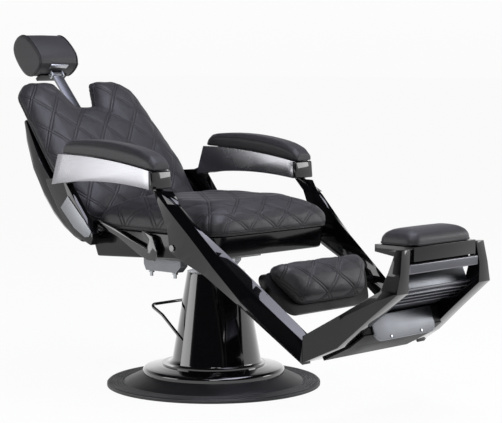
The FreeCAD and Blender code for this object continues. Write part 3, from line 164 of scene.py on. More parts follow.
# Share of plain white in the shown floor; the rest is lit paper, which keeps the shadow
FLOOR_WHITE = 0.95
FLOOR_PAPER = "#f4f4f4"
floor_mesh = bpy.data.meshes.new("floor")
corners = [(x * FLOOR_REACH, y * FLOOR_REACH, 0) for x, y in ((-1, -1), (1, -1), (1, 1), (-1, 1))]
floor_mesh.from_pydata(corners, [], [(0, 1, 2, 3)])
floor = bpy.data.objects.new("floor", floor_mesh)
scene.collection.objects.link(floor)
paper = bpy.data.materials.new("pale_studio_floor")
paper.use_nodes = True
tree = paper.node_tree
tree.nodes.clear()
matte = add(tree, "ShaderNodeBsdfDiffuse", {"Color": colour(FLOOR_PAPER)})
glow = add(tree, "ShaderNodeEmission", {"Color": colour(WHITE), "Strength": 1.0})
share = add(tree, "ShaderNodeMath", {0: shown_rays(tree), 1: FLOOR_WHITE}, operation="MULTIPLY")
mixed = add(tree, "ShaderNodeMixShader", {"Fac": share.outputs[0], 1: matte.outputs[0], 2: glow.outputs[0]})
add(tree, "ShaderNodeOutputMaterial", {"Surface": mixed.outputs[0]})
floor_mesh.materials.append(paper)
print("floor", 2 * FLOOR_REACH, "m across")

# %% Soft boxes
SOFT_BOXES = {
    # name: (place, aimed at, width, height, watts, tint)
    "left_box": ((-2.75, 1.60, 0.95), (0.0, -0.1, 0.5), 1.6, 1.8, 25, WHITE),
    "top_box": ((0.4, -0.7, 3.2), (0.0, -0.1, 0.5), 2.4, 1.7, 74, "#eaeafc"),
    "front_box": ((2.9, -2.5, 1.5), (0.0, -0.4, 0.4), 1.5, 1.2, 34, WHITE),
    "key_box": ((-2.2, -2.6, 3.4), (0.0, 0.0, 0.6), 1.6, 1.2, 55, WHITE),
}
for name, (place, aim, width, tall, watts, tint) in SOFT_BOXES.items():
    lamp = bpy.data.lights.new(name, "AREA")
    lamp.shape = "RECTANGLE"
    lamp.size = width
    lamp.size_y = tall
    lamp.energy = watts
    lamp.color = colour(tint)[:3]
    holder = bpy.data.objects.new(name, lamp)
    holder.location = place
    holder.rotation_euler = (Vector(aim) - Vector(place)).to_track_quat("-Z", "Y").to_euler()
    scene.collection.objects.link(holder)
print("soft boxes", len(SOFT_BOXES))

# %% [markdown]
# ## Finishes
# Each finish is named for what the real surface is and how it was made. Each could have a node
# tree drawn for it alone, but metal, lacquer and plastic differ in numbers only. So one function
# makes them all: two tones, two roughnesses, a grain of real size, and wear on rounded edges.
# All patterns read Object coordinates in metres, so that a noise scale is one over the size of
# its grain. The pieces sit at the origin with their place in the mesh, so no pattern slides.

# %% How a hard finish is made
FINISHES = {}
# Soft clouds over every hard finish, and the part of the noise's range that is used
CLOUD_MM = 111.1
NOISE_RANGE = {"From Min": 0.3, "From Max": 0.7}
RELIEF_SHARE = 0.35
GRAIN_NOISE = {"Detail": 3.0, "Roughness": 0.6}


def finish(name, base, base_two, grain_mm, stretch, rough, rough_two, bump_mm, metallic=0.0,
           coat=0.0, shine=0.5, worn="#3c3c40", voronoi=False):
    """A finish: two tones and two roughnesses mixed by a grain, its relief and its worn edges."""
    made = bpy.data.materials.new(name)
    made.use_nodes = True
    tree = made.node_tree
    tree.nodes.clear()
    place = add(tree, "ShaderNodeTexCoord")
    lay = add(tree, "ShaderNodeMapping", {"Vector": place.outputs["Object"], "Scale": stretch})
    if voronoi:
        grain = add(tree, "ShaderNodeTexVoronoi", {"Vector": lay.outputs[0], "Scale": 1000 / grain_mm})
        fine = grain.outputs["Distance"]
    else:
        grain = add(tree, "ShaderNodeTexNoise", {"Vector": lay.outputs[0], "Scale": 1000 / grain_mm,
                                                 **GRAIN_NOISE})
        fine = grain.outputs["Fac"]
    cloud = add(tree, "ShaderNodeTexNoise", {"Vector": place.outputs["Object"], "Scale": 1000 / CLOUD_MM,
                                             "Detail": 4.0})
    blend = add(tree, "ShaderNodeMath", {0: fine, 1: cloud.outputs["Fac"]}, operation="MULTIPLY")
    tone = add(tree, "ShaderNodeMix", {"Factor": blend.outputs[0], "A": colour(base),
                                       "B": colour(base_two)}, data_type="RGBA")
    edges = add(tree, "ShaderNodeAttribute", attribute_name="edge_wear")
    rubbed = add(tree, "ShaderNodeMath", {0: edges.outputs["Fac"], 1: cloud.outputs["Fac"]},
                 operation="MULTIPLY")
    aged = add(tree, "ShaderNodeMix", {"Factor": rubbed.outputs[0], "A": tone.outputs[2],
                                       "B": colour(worn)}, data_type="RGBA")
    spread = add(tree, "ShaderNodeMapRange", {"Value": cloud.outputs["Fac"], "To Min": rough,
                                              "To Max": rough_two, **NOISE_RANGE})
    relief = add(tree, "ShaderNodeBump", {"Height": fine, "Strength": RELIEF_SHARE,
                                          "Distance": bump_mm * MM})
    shader = add(tree, "ShaderNodeBsdfPrincipled", {
        "Base Color": aged.outputs[2], "Roughness": spread.outputs[0], "Normal": relief.outputs[0],
        "Metallic": metallic, "Coat Weight": coat, "Specular IOR Level": shine})
    add(tree, "ShaderNodeOutputMaterial", {"Surface": shader.outputs[0]})
    FINISHES[name] = made


# %% Finishes of metal, lacquer and plastic
# Each line gives a name, two tones, the grain in millimetres and its stretch, two roughnesses
# and the relief in millimetres. The stretch is even, or drawn out by brushing.
EVEN = (1.0, 1.0, 1.0)
BRUSHED_ACROSS = (0.03, 1.0, 1.0)
BRUSHED_ALONG = (1.0, 0.03, 1.0)
# Poured gloss lacquer on cast aluminium: deep black, a faint orange-peel ripple
finish("gloss_black_lacquer", "#050506", "#0c0c0f", 6.0, EVEN, 0.16, 0.24, 0.010, coat=1.0, shine=0.05,
       worn="#2a2a2e")
# Gloss enamel on pressed steel
finish("gloss_black_enamel", "#050506", "#0d0d0f", 9.0, EVEN, 0.06, 0.10, 0.008, coat=1.0, worn="#242428")
# Moulded ABS with a high gloss: slightly greyer than lacquer, with flow ripple
finish("gloss_moulded_abs", "#08080a", "#131316", 11.0, EVEN, 0.09, 0.16, 0.012, shine=0.4, worn="#202024")
# Satin-anodised dark sheet, brushed across the chair; strokes drawn coarser to show
finish("satin_black_anodised", "#55565b", "#74757b", 1.6, BRUSHED_ACROSS, 0.34, 0.44, 0.02, metallic=0.8,
       worn="#9c9ca2")
# Brushed steel sheet of the kick panel, the toe plate and the head pad's bar
finish("brushed_steel_sheet", "#5e6064", "#787a7f", 1.6, BRUSHED_ACROSS, 0.30, 0.40, 0.02, metallic=0.9,
       worn="#a0a2a6")
# Satin steel trim let into the back's arms
finish("satin_steel_trim", "#7e8084", "#989a9e", 1.4, EVEN, 0.36, 0.46, 0.01, metallic=1.0, worn="#b4b6ba")
# Powder-coated skirt of the foot, dull with a fine grain
finish("powder_coated_skirt", "#1a1a1c", "#28282b", 1.2, EVEN, 0.36, 0.46, 0.03, worn="#2c2c2e")
# Matt black undersides, sprayed thin where nobody looks
finish("matt_black_underside", "#0b0b0c", "#161617", 1.2, EVEN, 0.40, 0.52, 0.03, shine=0.15,
       worn="#3a3a3c")
# Moulded rubber tread with a fine dull grain
finish("black_tread_rubber", "#29292b", "#3a3a3c", 1.5, EVEN, 0.46, 0.60, 0.05, worn="#8a8a8c")
# Satin silver on aluminium, brushed along the armrest
finish("satin_silver_aluminium", "#8c8c90", "#aeaeb2", 1.4, BRUSHED_ALONG, 0.20, 0.30, 0.01, metallic=1.0,
       worn="#c4c4c8")
# Polished chrome plate
finish("polished_chrome", "#d4d5d8", "#e8e9ec", 4.0, EVEN, 0.05, 0.09, 0.003, metallic=1.0, worn="#f0f0f2")
# Bright zinc plate with its spangle
finish("bright_zinc_plate", "#a9acb0", "#cdcfd3", 5.0, EVEN, 0.24, 0.36, 0.01, metallic=1.0, voronoi=True,
       worn="#dedfe2")
# Sand-cast aluminium, left rough and grey between its machined faces
finish("sand_cast_aluminium", "#808286", "#a2a4a8", 2.2, EVEN, 0.46, 0.62, 0.12, metallic=0.85,
       worn="#c4c5c8")
print("finishes", len(FINISHES))

# %% [markdown]
# ## Leather
# The upholstery is black leather with a pressed pebble grain. A picture of leather would tie the
# cushions to unwrapped maps, so the grain is grown instead: a cell pattern gives the pebbles and
# a cloud pattern the uneven dye. On quilted cushions a map named quilt_plan, made with the
# cushion, says where the needle rows run: there the thread pulls the skin down, and the rows
# are painted dark as painted shade in their grooves.

# %% Leather
# Pebbles drawn about 2 mm across, coarser than real ones, so that they show
PEBBLE_MM = 2.0
WOBBLE_MM = 7.143
WOBBLE_SHARE = 0.01
CREASE_SHARE = 0.25
PEBBLE_RELIEF_MM = 0.12
MOTTLE_MM = 9.091
LEATHER_ROUGH = (0.46, 0.58)
# The quilting's diamonds across and along, its two rows side by side, and the way between rows
QUILT_X = 113.0
QUILT_Y = 128.0
ROW_APART = 9.0
SLANT = QUILT_X * QUILT_Y / math.hypot(QUILT_X, QUILT_Y)
# How far from a needle row its painted shade is full, and gone, and how deep the thread pulls
ROW_FULL_MM = 0.4
ROW_GONE_MM = 1.6
ROW_PULL_MM = 0.9
# Colour painted along the needle rows: painted shade in their grooves
PAINTED_ROW_SHADE = "#08080a"


def needle_rows(tree):
    """1 on a needle row of the quilting, 0 away from it."""
    plan = add(tree, "ShaderNodeUVMap", uv_map="quilt_plan")
    split = add(tree, "ShaderNodeSeparateXYZ", {"Vector": plan.outputs[0]})
    rising = add(tree, "ShaderNodeMath", {0: split.outputs["Y"], 1: 1000 / QUILT_Y}, operation="MULTIPLY")
    falling = add(tree, "ShaderNodeMath", {0: rising.outputs[0], 1: -1.0}, operation="MULTIPLY")
    gaps = []
    for slope in (rising, falling):
        phase = add(tree, "ShaderNodeMath", {0: split.outputs["X"], 1: 1000 / QUILT_X, 2: slope.outputs[0]},
                    operation="MULTIPLY_ADD")
        away = add(tree, "ShaderNodeMath", {0: phase.outputs[0], 1: 0.5}, operation="PINGPONG")
        off = add(tree, "ShaderNodeMath", {0: away.outputs[0], 1: SLANT, 2: -ROW_APART / 2},
                  operation="MULTIPLY_ADD")
        gaps.append(add(tree, "ShaderNodeMath", {0: off.outputs[0]}, operation="ABSOLUTE"))
    near = add(tree, "ShaderNodeMath", {0: gaps[0].outputs[0], 1: gaps[1].outputs[0]},
               operation="MINIMUM")
    line = add(tree, "ShaderNodeMapRange", {"Value": near.outputs[0], "From Min": ROW_FULL_MM,
                                            "From Max": ROW_GONE_MM, "To Min": 1.0, "To Max": 0.0})
    sewing = add(tree, "ShaderNodeAttribute", attribute_name="quilt_share")
    row = add(tree, "ShaderNodeMath", {0: line.outputs[0], 1: sewing.outputs["Fac"]},
              operation="MULTIPLY")
    return row.outputs[0]


def leather(name, dark, pale, sewn):
    """Pebbled leather, with quilting rows if it is sewn through."""
    made = bpy.data.materials.new(name)
    made.use_nodes = True
    tree = made.node_tree
    tree.nodes.clear()
    place = add(tree, "ShaderNodeTexCoord")
    wobble = add(tree, "ShaderNodeTexNoise", {"Vector": place.outputs["Object"], "Scale": 1000 / WOBBLE_MM})
    shifted = add(tree, "ShaderNodeMix", {"Factor": WOBBLE_SHARE, "A": place.outputs["Object"],
                                          "B": wobble.outputs["Color"]}, data_type="VECTOR")
    pebble = add(tree, "ShaderNodeTexVoronoi", {"Vector": shifted.outputs[1], "Scale": 1000 / PEBBLE_MM},
                 feature="DISTANCE_TO_EDGE")
    crease = add(tree, "ShaderNodeMapRange", {"Value": pebble.outputs["Distance"], "From Max": CREASE_SHARE})
    cloud = add(tree, "ShaderNodeTexNoise", {"Vector": place.outputs["Object"], "Scale": 1000 / MOTTLE_MM,
                                             "Detail": 6.0})
    tone = add(tree, "ShaderNodeMix", {"Factor": cloud.outputs["Fac"], "A": colour(dark),
                                       "B": colour(pale)}, data_type="RGBA")
    skin = tone.outputs[2]
    rough = add(tree, "ShaderNodeMapRange", {"Value": cloud.outputs["Fac"], "To Min": LEATHER_ROUGH[0],
                                             "To Max": LEATHER_ROUGH[1], **NOISE_RANGE})
    relief = add(tree, "ShaderNodeBump", {"Height": crease.outputs[0], "Strength": 0.3,
                                          "Distance": PEBBLE_RELIEF_MM * MM})
    if sewn:
        row = needle_rows(tree)
        # Painted shade: the needle rows are darkened in the base colour
        row_painted_shade = add(tree, "ShaderNodeMix", {"Factor": row, "A": skin, "B": colour(PAINTED_ROW_SHADE)},
                     data_type="RGBA")
        skin = row_painted_shade.outputs[2]
        pulled = add(tree, "ShaderNodeBump", {"Height": row, "Strength": 0.6, "Distance": ROW_PULL_MM * MM},
                     invert=True)
        tree.links.new(pulled.outputs[0], relief.inputs["Normal"])
    shader = add(tree, "ShaderNodeBsdfPrincipled", {
        "Base Color": skin, "Roughness": rough.outputs[0], "Normal": relief.outputs[0],
        "Sheen Weight": 0.2, "Sheen Roughness": 0.4, "Sheen Tint": colour("#aeaeb6")})
    add(tree, "ShaderNodeOutputMaterial", {"Surface": shader.outputs[0]})
    FINISHES[name] = made
    return made


plain_leather = leather("pebbled_black_leather", "#161517", "#3c3b3e", False)
quilt_leather = leather("quilted_black_leather", "#161517", "#3c3b3e", True)
welt_leather = leather("piping_black_leather", "#0d0d0f", "#161618", False)
# Waxed polyester thread, near black with a dull shine
finish("waxed_black_thread", "#17171a", "#2a2a2e", 0.6, EVEN, 0.40, 0.55, 0.02)
print("finishes", len(FINISHES))

# %% [markdown]
# ## Hard parts
# A CAD solid has knife edges, and a real casting or pressing never does: the small round on
# an edge is what catches the light. Each hard node is copied, its triangles merged back into
# faces, and its sharp edges bevelled. A Bevel modifier could do that too, but here the new
# faces can be marked, so that the paint looks worn on them. The copy stands for the node and
# rides on its body.

# %% Softened copies of the hard nodes
JOIN_MM = 0.02
# Angles between faces: flat enough to merge, keen enough to round, smooth enough to shade as one
MERGE_DEGREES = 0.15
KEEN_DEGREES = 24
SMOOTH_DEGREES = 32
ROUND_STEPS = 3


def merged_copy(node):
    """The node's mesh as a bmesh with its loose triangles joined."""
    shell = bmesh.new()
    shell.from_mesh(frame["nodes"][node].data)
    bmesh.ops.remove_doubles(shell, verts=shell.verts, dist=JOIN_MM * MM)
    return shell


def place_piece(mesh, name, material, body):
    """Link a finished mesh as a piece that rides on a body."""
    piece = bpy.data.objects.new(name, mesh)
    scene.collection.objects.link(piece)
    mesh.materials.clear()
    mesh.materials.append(material)
    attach(piece, body)
    return piece


def shade_by_angle(shell):
    """Smooth faces, with the sharper edges left sharp."""
    for face in shell.faces:
        face.smooth = True
    for edge in shell.edges:
        bend = edge.calc_face_angle(0.0)
        edge.smooth = len(edge.link_faces) == 2 and bend < math.radians(SMOOTH_DEGREES)


def dressed(node, material, edge_mm):
    """Put a copy of a node, with its sharp edges rounded by edge_mm, in the node's place."""
    shell = merged_copy(node)
    if edge_mm:
        bmesh.ops.dissolve_limit(shell, angle_limit=math.radians(MERGE_DEGREES), verts=shell.verts,
                                 edges=shell.edges)
        keen = [edge for edge in shell.edges
                if len(edge.link_faces) == 2 and edge.calc_face_angle(0.0) > math.radians(KEEN_DEGREES)]
        wear = shell.faces.layers.float.new("edge_wear")
        rounded = bmesh.ops.bevel(shell, geom=keen, offset=edge_mm * MM, offset_type="OFFSET",
                                  segments=ROUND_STEPS, profile=0.5, affect="EDGES", clamp_overlap=True)
        for face in rounded["faces"]:
            face[wear] = 1.0
    shade_by_angle(shell)
    mesh = bpy.data.meshes.new(node + "_dressed")
    shell.to_mesh(mesh)
    shell.free()
    piece = place_piece(mesh, node + "_dressed", material, body_of_node[node])
    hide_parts(node)


# %% Dress the hard parts
SIDES = ("left", "right")
FINISH_OF_SLOT = {
    "black_lacquer": "gloss_black_lacquer", "satin_black": "satin_black_anodised",
    "black_steel": "gloss_black_enamel", "gloss_shell": "gloss_moulded_abs",
    "black_tread": "black_tread_rubber", "satin_silver": "satin_silver_aluminium",
    "chrome": "polished_chrome", "zinc_steel": "bright_zinc_plate", "ply_board": "pebbled_black_leather"}
# Parts whose finish isn't the usual one of their slot
FINISH_OF_NODE = {
    "base_cone": "powder_coated_skirt", "mechanism_castings": "sand_cast_aluminium",
    "toe_plate": "brushed_steel_sheet", "kick_panel": "brushed_steel_sheet",
    "headrest_bar": "brushed_steel_sheet", "back_trim_left": "satin_steel_trim",
    "back_trim_right": "satin_steel_trim", "column_front_shell": "gloss_black_enamel",
    "column_rear_shell": "gloss_black_enamel", "column_cap": "gloss_black_enamel",
    "bottom_plate": "matt_black_underside", "calf_shell": "matt_black_underside"}
USUAL_ROUND_MM = 1.0
ROUND_MM = {"tread_ring": 0.5, "base_cone": 0.8, "seat_pan": 5.0, "back_shell": 6.0, "calf_shell": 3.0,
            "foot_tray": 3.0, "recline_lever": 2.5, "foot_crossbar": 3.0, "toe_plate": 1.5,
            "kick_panel": 1.5}
ROUND_MM_OF_PAIR = {"side_beam": 4.0, "foot_arm": 2.5, "back_arm": 5.0, "armrest_cap": 4.0,
                    "armrest_outer_panel": 2.0, "armrest_inner_panel": 2.0}
for pair, edge in ROUND_MM_OF_PAIR.items():
    for side in SIDES:
        ROUND_MM[f"{pair}_{side}"] = edge
# Round parts, and parts that are out of sight, keep the edges that they have
PLAIN = ("base_disc", "column_front_shell", "column_rear_shell", "column_cap",
         "pump_cylinder", "hydraulic_ram", "swivel_hub", "pedal_hoop", "lever_grip", "headrest_hinge_pin",
         "pivot_pins", "recline_lock", "floor_plate")
hard_nodes = [node for node, slot in slot_of_node.items() if slot in FINISH_OF_SLOT]
for node in hard_nodes:
    edge = 0.0 if node in PLAIN else ROUND_MM.get(node, USUAL_ROUND_MM)
    named = FINISH_OF_NODE.get(node, FINISH_OF_SLOT[slot_of_node[node]])
    dressed(node, FINISHES[named], edge)
print("hard parts dressed", len(hard_nodes))

# %% [markdown]
# ## Cushions
# A cushion is foam in a sewn cover, so it bulges between its seams. Each CAD block is remeshed
# into even faces, shrunk a little, and blown up by a cloth simulation with pressure inside and
# no gravity. Cloth also wrinkles, which tight leather over foam does not: so only the swelling
# along the surface's normal is kept, capped and evened out, and what rests on the frame stays.

# %% Mesh numbers as arrays


def points_of(mesh):
    """Places of a mesh's points as an array."""
    flat = np.empty(len(mesh.vertices) * 3)
    mesh.vertices.foreach_get("co", flat)
    return flat.reshape(-1, 3)


def normals_of(mesh):
    """Normals of a mesh's points as an array."""
    flat = np.empty(len(mesh.vertices) * 3)
    mesh.vertices.foreach_get("normal", flat)
    return flat.reshape(-1, 3)


def put_points(mesh, points):
    """Write the points' places back."""
    mesh.vertices.foreach_set("co", points.ravel())
    mesh.update()


def relaxed(mesh, values, rounds, held=None):
    """Average values over neighbouring points, again and again; held ones keep theirs."""
    flat = np.empty(len(mesh.edges) * 2, dtype=np.int32)
    mesh.edges.foreach_get("vertices", flat)
    first, second = flat.reshape(-1, 2).T
    table = values.reshape(len(values), -1).copy()
    count = np.maximum(np.bincount(flat, minlength=len(table)), 1)[:, None]
    keep = np.zeros(len(table), dtype=bool) if held is None else held
    for step in range(rounds):
        total = np.zeros_like(table)
        for column in range(table.shape[1]):
            total[:, column] += np.bincount(first, table[second, column], len(table))
            total[:, column] += np.bincount(second, table[first, column], len(table))
        table = np.where(keep[:, None], table, 0.5 * table + 0.5 * total / count)
    return table.reshape(values.shape)


# %% Stuffing
CLOTH_FRAMES = 15
CLOTH_QUALITY = 3
SWELL_ROUNDS = 30
SETTLE_ROUNDS = 2


def remeshed(shell, voxel_mm):
    """Mesh of even faces over a closed shape."""
    mesh = bpy.data.meshes.new("stuffing")
    shell.to_mesh(mesh)
    shell.free()
    holder = bpy.data.objects.new("stuffing", mesh)
    scene.collection.objects.link(holder)
    even = holder.modifiers.new("even", "REMESH")
    even.mode = "VOXEL"
    even.voxel_size = voxel_mm * MM
    graph = bpy.context.evaluated_depsgraph_get()
    result = bpy.data.meshes.new_from_object(holder.evaluated_get(graph))
    bpy.data.objects.remove(holder)
    bpy.data.meshes.remove(mesh)
    return result


def blown_up(mesh, held, pressure):
    """Places of the points after a short cloth simulation with pressure inside."""
    holder = bpy.data.objects.new("cover", mesh)
    scene.collection.objects.link(holder)
    pins = holder.vertex_groups.new(name="resting")
    pins.add([int(number) for number in np.flatnonzero(held)], 1.0, "REPLACE")
    cloth = holder.modifiers.new("cover", "CLOTH")
    cloth.settings.vertex_group_mass = "resting"
    cloth.settings.use_pressure = True
    cloth.settings.uniform_pressure_force = pressure
    cloth.settings.effector_weights.gravity = 0.0
    cloth.settings.quality = CLOTH_QUALITY
    cloth.point_cache.frame_start = 1
    cloth.point_cache.frame_end = CLOTH_FRAMES
    for number in range(1, CLOTH_FRAMES + 1):
        scene.frame_set(number)
    graph = bpy.context.evaluated_depsgraph_get()
    swollen = holder.evaluated_get(graph).to_mesh()
    after = points_of(swollen)
    holder.evaluated_get(graph).to_mesh_clear()
    scene.frame_set(1)
    bpy.data.objects.remove(holder)
    return after


def stuffed(shell, voxel_mm, shrink_mm, plump_mm, resting, pressure=4.0, soften=6):
    """Cushion swollen from a block; resting marks the points that stay put."""
    mesh = remeshed(shell, voxel_mm)
    held = resting(points_of(mesh))
    start = relaxed(mesh, points_of(mesh), soften, held)
    put_points(mesh, start)
    normals = normals_of(mesh)
    free = np.where(held, 0.0, 1.0)[:, None]
    swell = np.zeros(len(start))
    small = start - normals * free * shrink_mm * MM
    put_points(mesh, small)
    moved = ((blown_up(mesh, held, pressure) - small) * normals).sum(axis=1)
    swell = np.clip(moved, 0.0, (shrink_mm + plump_mm) * MM) - shrink_mm * MM
    swell = relaxed(mesh, swell, SWELL_ROUNDS)
    put_points(mesh, start + normals * free * swell[:, None])
    least, most = swell.min() / MM, swell.max() / MM
    print("stuffed, points", len(start), "swell mm", round(least, 1), round(most, 1))
    return mesh


def subdivided(mesh):
    """The mesh with every face split in four and slightly relaxed."""
    shell = bmesh.new()
    shell.from_mesh(mesh)
    bmesh.ops.subdivide_edges(shell, edges=shell.edges, cuts=1, use_grid_fill=True, smooth=0.4)
    for step in range(SETTLE_ROUNDS):
        bmesh.ops.smooth_vert(shell, verts=shell.verts, factor=0.5, use_axis_x=True, use_axis_y=True,
                              use_axis_z=True)
    for face in shell.faces:
        face.smooth = True
    shell.to_mesh(mesh)
    shell.free()
    mesh.update()
    return mesh


def upholstered(mesh, name, node, material):
    """Finish a cushion: leather, body, and the block that it stands for."""
    piece = place_piece(mesh, name, material, body_of_node[node])
    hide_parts(node)


# %% [markdown]
# ## Quilting
# The cover is sewn through to the foam in diamonds, with two rows of stitches side by side.
# A bump in the leather alone would leave the cushion's outline flat, so the rows are pressed
# into the mesh. The pattern is laid out flat, as the upholsterer marks it on the hide, and the
# hide is then folded over the edges: a point's place on the pattern is its place from above
# plus the way down the side. That place is kept as a map, which the leather, the relief and
# the stitches share.

# %% Quilting helpers
# Grooves under the needle rows and the puff between them, in millimetres
GROOVE_HALF = 2.4
GROOVE_DEEP = 1.1
PUFF = 1.5
PUFF_REACH = 16.0
# The surface's lean: how often it is evened, its least length, and where sewing starts and is full
LEAN_ROUNDS = 14
LEAST_LEAN = 0.08
UNSEWN_LEAN = -0.6
SEWN_AFTER_LEAN = 0.4
SEWN_AFTER_MM = 6.0
# Share of the way down a side that counts on the pattern, across and along the cushion
SEAT_UNROLL = (0.35, 1.15)
PLAIN_UNROLL = (0.8, 0.8)


def quilted(mesh, origin, directions, shift_mm, lowest_mm, unroll):
    """Press the diamonds into a mesh and keep the pattern's map on it."""
    turn = np.array([tuple(way) for way in directions]).T
    local = (points_of(mesh) - np.array(tuple(origin))) @ turn
    normals = normals_of(mesh)
    lean = relaxed(mesh, normals, LEAN_ROUNDS) @ turn
    drop = local[:, 2].max() - local[:, 2]
    flat = np.maximum(np.hypot(lean[:, 0], lean[:, 1]), LEAST_LEAN)
    plan = local[:, :2] + np.array(unroll) * drop[:, None] * lean[:, :2] / flat[:, None]
    plan = plan * 1000 + np.array(shift_mm)
    share = np.clip((lean[:, 2] - UNSEWN_LEAN) / SEWN_AFTER_LEAN, 0.0, 1.0)
    share *= np.clip((local[:, 2] * 1000 - lowest_mm) / SEWN_AFTER_MM, 0.0, 1.0)
    gaps = []
    for sign in (1, -1):
        phase = plan[:, 0] / QUILT_X + sign * plan[:, 1] / QUILT_Y
        gaps.append(np.abs(phase - np.round(phase)) * SLANT)
    nearest = np.minimum(gaps[0], gaps[1])
    groove = np.exp(-((nearest - ROW_APART / 2) / GROOVE_HALF) ** 2)
    puff = 0.5 - np.exp(-(np.maximum(0.0, nearest - ROW_APART / 2) / PUFF_REACH) ** 2)
    rise = (PUFF * puff - GROOVE_DEEP * groove) * share * MM
    put_points(mesh, points_of(mesh) + normals * rise[:, None])
    corners = np.empty(len(mesh.loops), dtype=np.int32)
    mesh.loops.foreach_get("vertex_index", corners)
    chart = mesh.uv_layers.new(name="quilt_plan")
    chart.data.foreach_set("uv", (plan[corners] * MM).ravel())
    sewn = mesh.attributes.new("quilt_share", "FLOAT", "POINT")
    sewn.data.foreach_set("value", share)
    return plan, share


# %% Needle rows as lines
ROW_STEP = 3.0
SHORTEST_ROW = 6
SEWN_SHARE = 0.5
ABOVE_PLAN = 5.0


def stitch_lines(mesh, plan, share):
    """Needle rows: straight lines on the pattern, carried onto the cushion's surface."""
    mesh.calc_loop_triangles()
    corners = np.empty(len(mesh.loop_triangles) * 3, dtype=np.int32)
    mesh.loop_triangles.foreach_get("vertices", corners)
    corners = corners.reshape(-1, 3)
    corners = corners[share[corners].min(axis=1) > SEWN_SHARE]
    flat = [(u, v, 0.0) for u, v in plan]
    search = BVHTree.FromPolygons(flat, corners.tolist())
    solid = [Vector(place) for place in points_of(mesh)]
    low, high = plan.min(axis=0), plan.max(axis=0)
    reach = int(max(abs(low[0]), high[0]) / QUILT_X + max(abs(low[1]), high[1]) / QUILT_Y) + 1
    lines = []
    for sign in (1, -1):
        for row in range(-reach, reach + 1):
            for offset in (-ROW_APART / 2, ROW_APART / 2):
                run = []
                for v in np.arange(low[1], high[1], ROW_STEP):
                    u = QUILT_X * (row + offset / SLANT - sign * v / QUILT_Y)
                    start = Vector((u, v, ABOVE_PLAN))
                    place, normal, found, away = search.ray_cast(start, Vector((0, 0, -1)))
                    if found is not None:
                        a, b, c = corners[found]
                        run.append(barycentric_transform(place, Vector(flat[a]), Vector(flat[b]),
                                                         Vector(flat[c]), solid[a], solid[b], solid[c]))
                    if (found is None or v + ROW_STEP >= high[1]) and run:
                        if len(run) > SHORTEST_ROW:
                            lines.append(np.array([tuple(point) for point in run]))
                        run = []
    return lines


# %% [markdown]
# ## Quilted cushions
# Seat, back and calf rest are the same kind of piece, so they take the same steps: swell the
# block, split its faces, press the diamonds in, cover it. Each could be sculpted by hand, but
# then the pattern would not meet its stitches. What differs is which side rests on a board,
# and which directions count as across, along and up on the cushion.

# %% Seat cushion
REST_MM = 4
SEAT_WAYS = (Vector((1, 0, 0)), Vector((0, 1, 0)), Vector((0, 0, 1)))
seat_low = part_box("seat_cushion")[0]
seat_mesh = stuffed(merged_copy("seat_cushion"), voxel_mm=5.5, shrink_mm=4.0, plump_mm=3.0,
                    resting=lambda points: points[:, 2] < seat_low[2] + REST_MM * MM)
seat_mesh = subdivided(seat_mesh)
seat_plan = quilted(seat_mesh, (0, 0, seat_low[2]), SEAT_WAYS, shift_mm=(0, -44), lowest_mm=6,
                    unroll=SEAT_UNROLL)
upholstered(seat_mesh, "quilted_seat_cushion", "seat_cushion", quilt_leather)
print("seat faces", len(seat_mesh.polygons))

# %% Back cushion
BACK_LEAN = math.radians(41)
BACK_UP = Vector((0, math.sin(BACK_LEAN), math.cos(BACK_LEAN)))
BACK_REAR = Vector((0, math.cos(BACK_LEAN), -math.sin(BACK_LEAN)))
BACK_ORIGIN = Vector((0, 0.396, 0.619))
BACK_WAYS = (Vector((1, 0, 0)), BACK_UP, -BACK_REAR)
BACK_REST_MM = 8


def along(points, origin, way):
    """How far points lie along a direction from an origin, in millimetres."""
    return (points - np.array(tuple(origin))) @ np.array(tuple(way)) * 1000


back_mesh = stuffed(merged_copy("back_cushion"), voxel_mm=5.5, shrink_mm=4.0, plump_mm=3.0,
                    resting=lambda points: along(points, BACK_ORIGIN, BACK_REAR) > BACK_REST_MM)
back_mesh = subdivided(back_mesh)
back_plan = quilted(back_mesh, BACK_ORIGIN, BACK_WAYS, shift_mm=(0, 0), lowest_mm=-2, unroll=PLAIN_UNROLL)
upholstered(back_mesh, "quilted_back_cushion", "back_cushion", quilt_leather)
print("back faces", len(back_mesh.polygons))

# %% Calf cushion
CALF_LEAN = math.radians(34)
CALF_TOP = Vector((0, -0.368, 0.385))
CALF_DOWN = Vector((0, -math.sin(CALF_LEAN), -math.cos(CALF_LEAN)))
CALF_FACE = Vector((0, CALF_DOWN.z, -CALF_DOWN.y))
CALF_WAYS = (Vector((1, 0, 0)), CALF_DOWN, CALF_FACE)
CALF_REST_MM = 3
calf_mesh = stuffed(merged_copy("calf_cushion"), voxel_mm=4.5, shrink_mm=3.0, plump_mm=2.0,
                    resting=lambda points: along(points, CALF_TOP, CALF_FACE) < CALF_REST_MM)
calf_mesh = subdivided(calf_mesh)
calf_plan = quilted(calf_mesh, CALF_TOP, CALF_WAYS, shift_mm=(30, 0), lowest_mm=10, unroll=PLAIN_UNROLL)
upholstered(calf_mesh, "quilted_calf_cushion", "calf_cushion", quilt_leather)
print("calf faces", len(calf_mesh.polygons))

# %% [markdown]
# ## Plain pads
# The foot pad is a slab of foam on a tray, drawn tight and gathered at the corner by the post.
# The armrest pads are firm blocks with crisp upper edges, so they swell very little.
# The gathers could come from the cloth, but a short formula puts them where they belong.

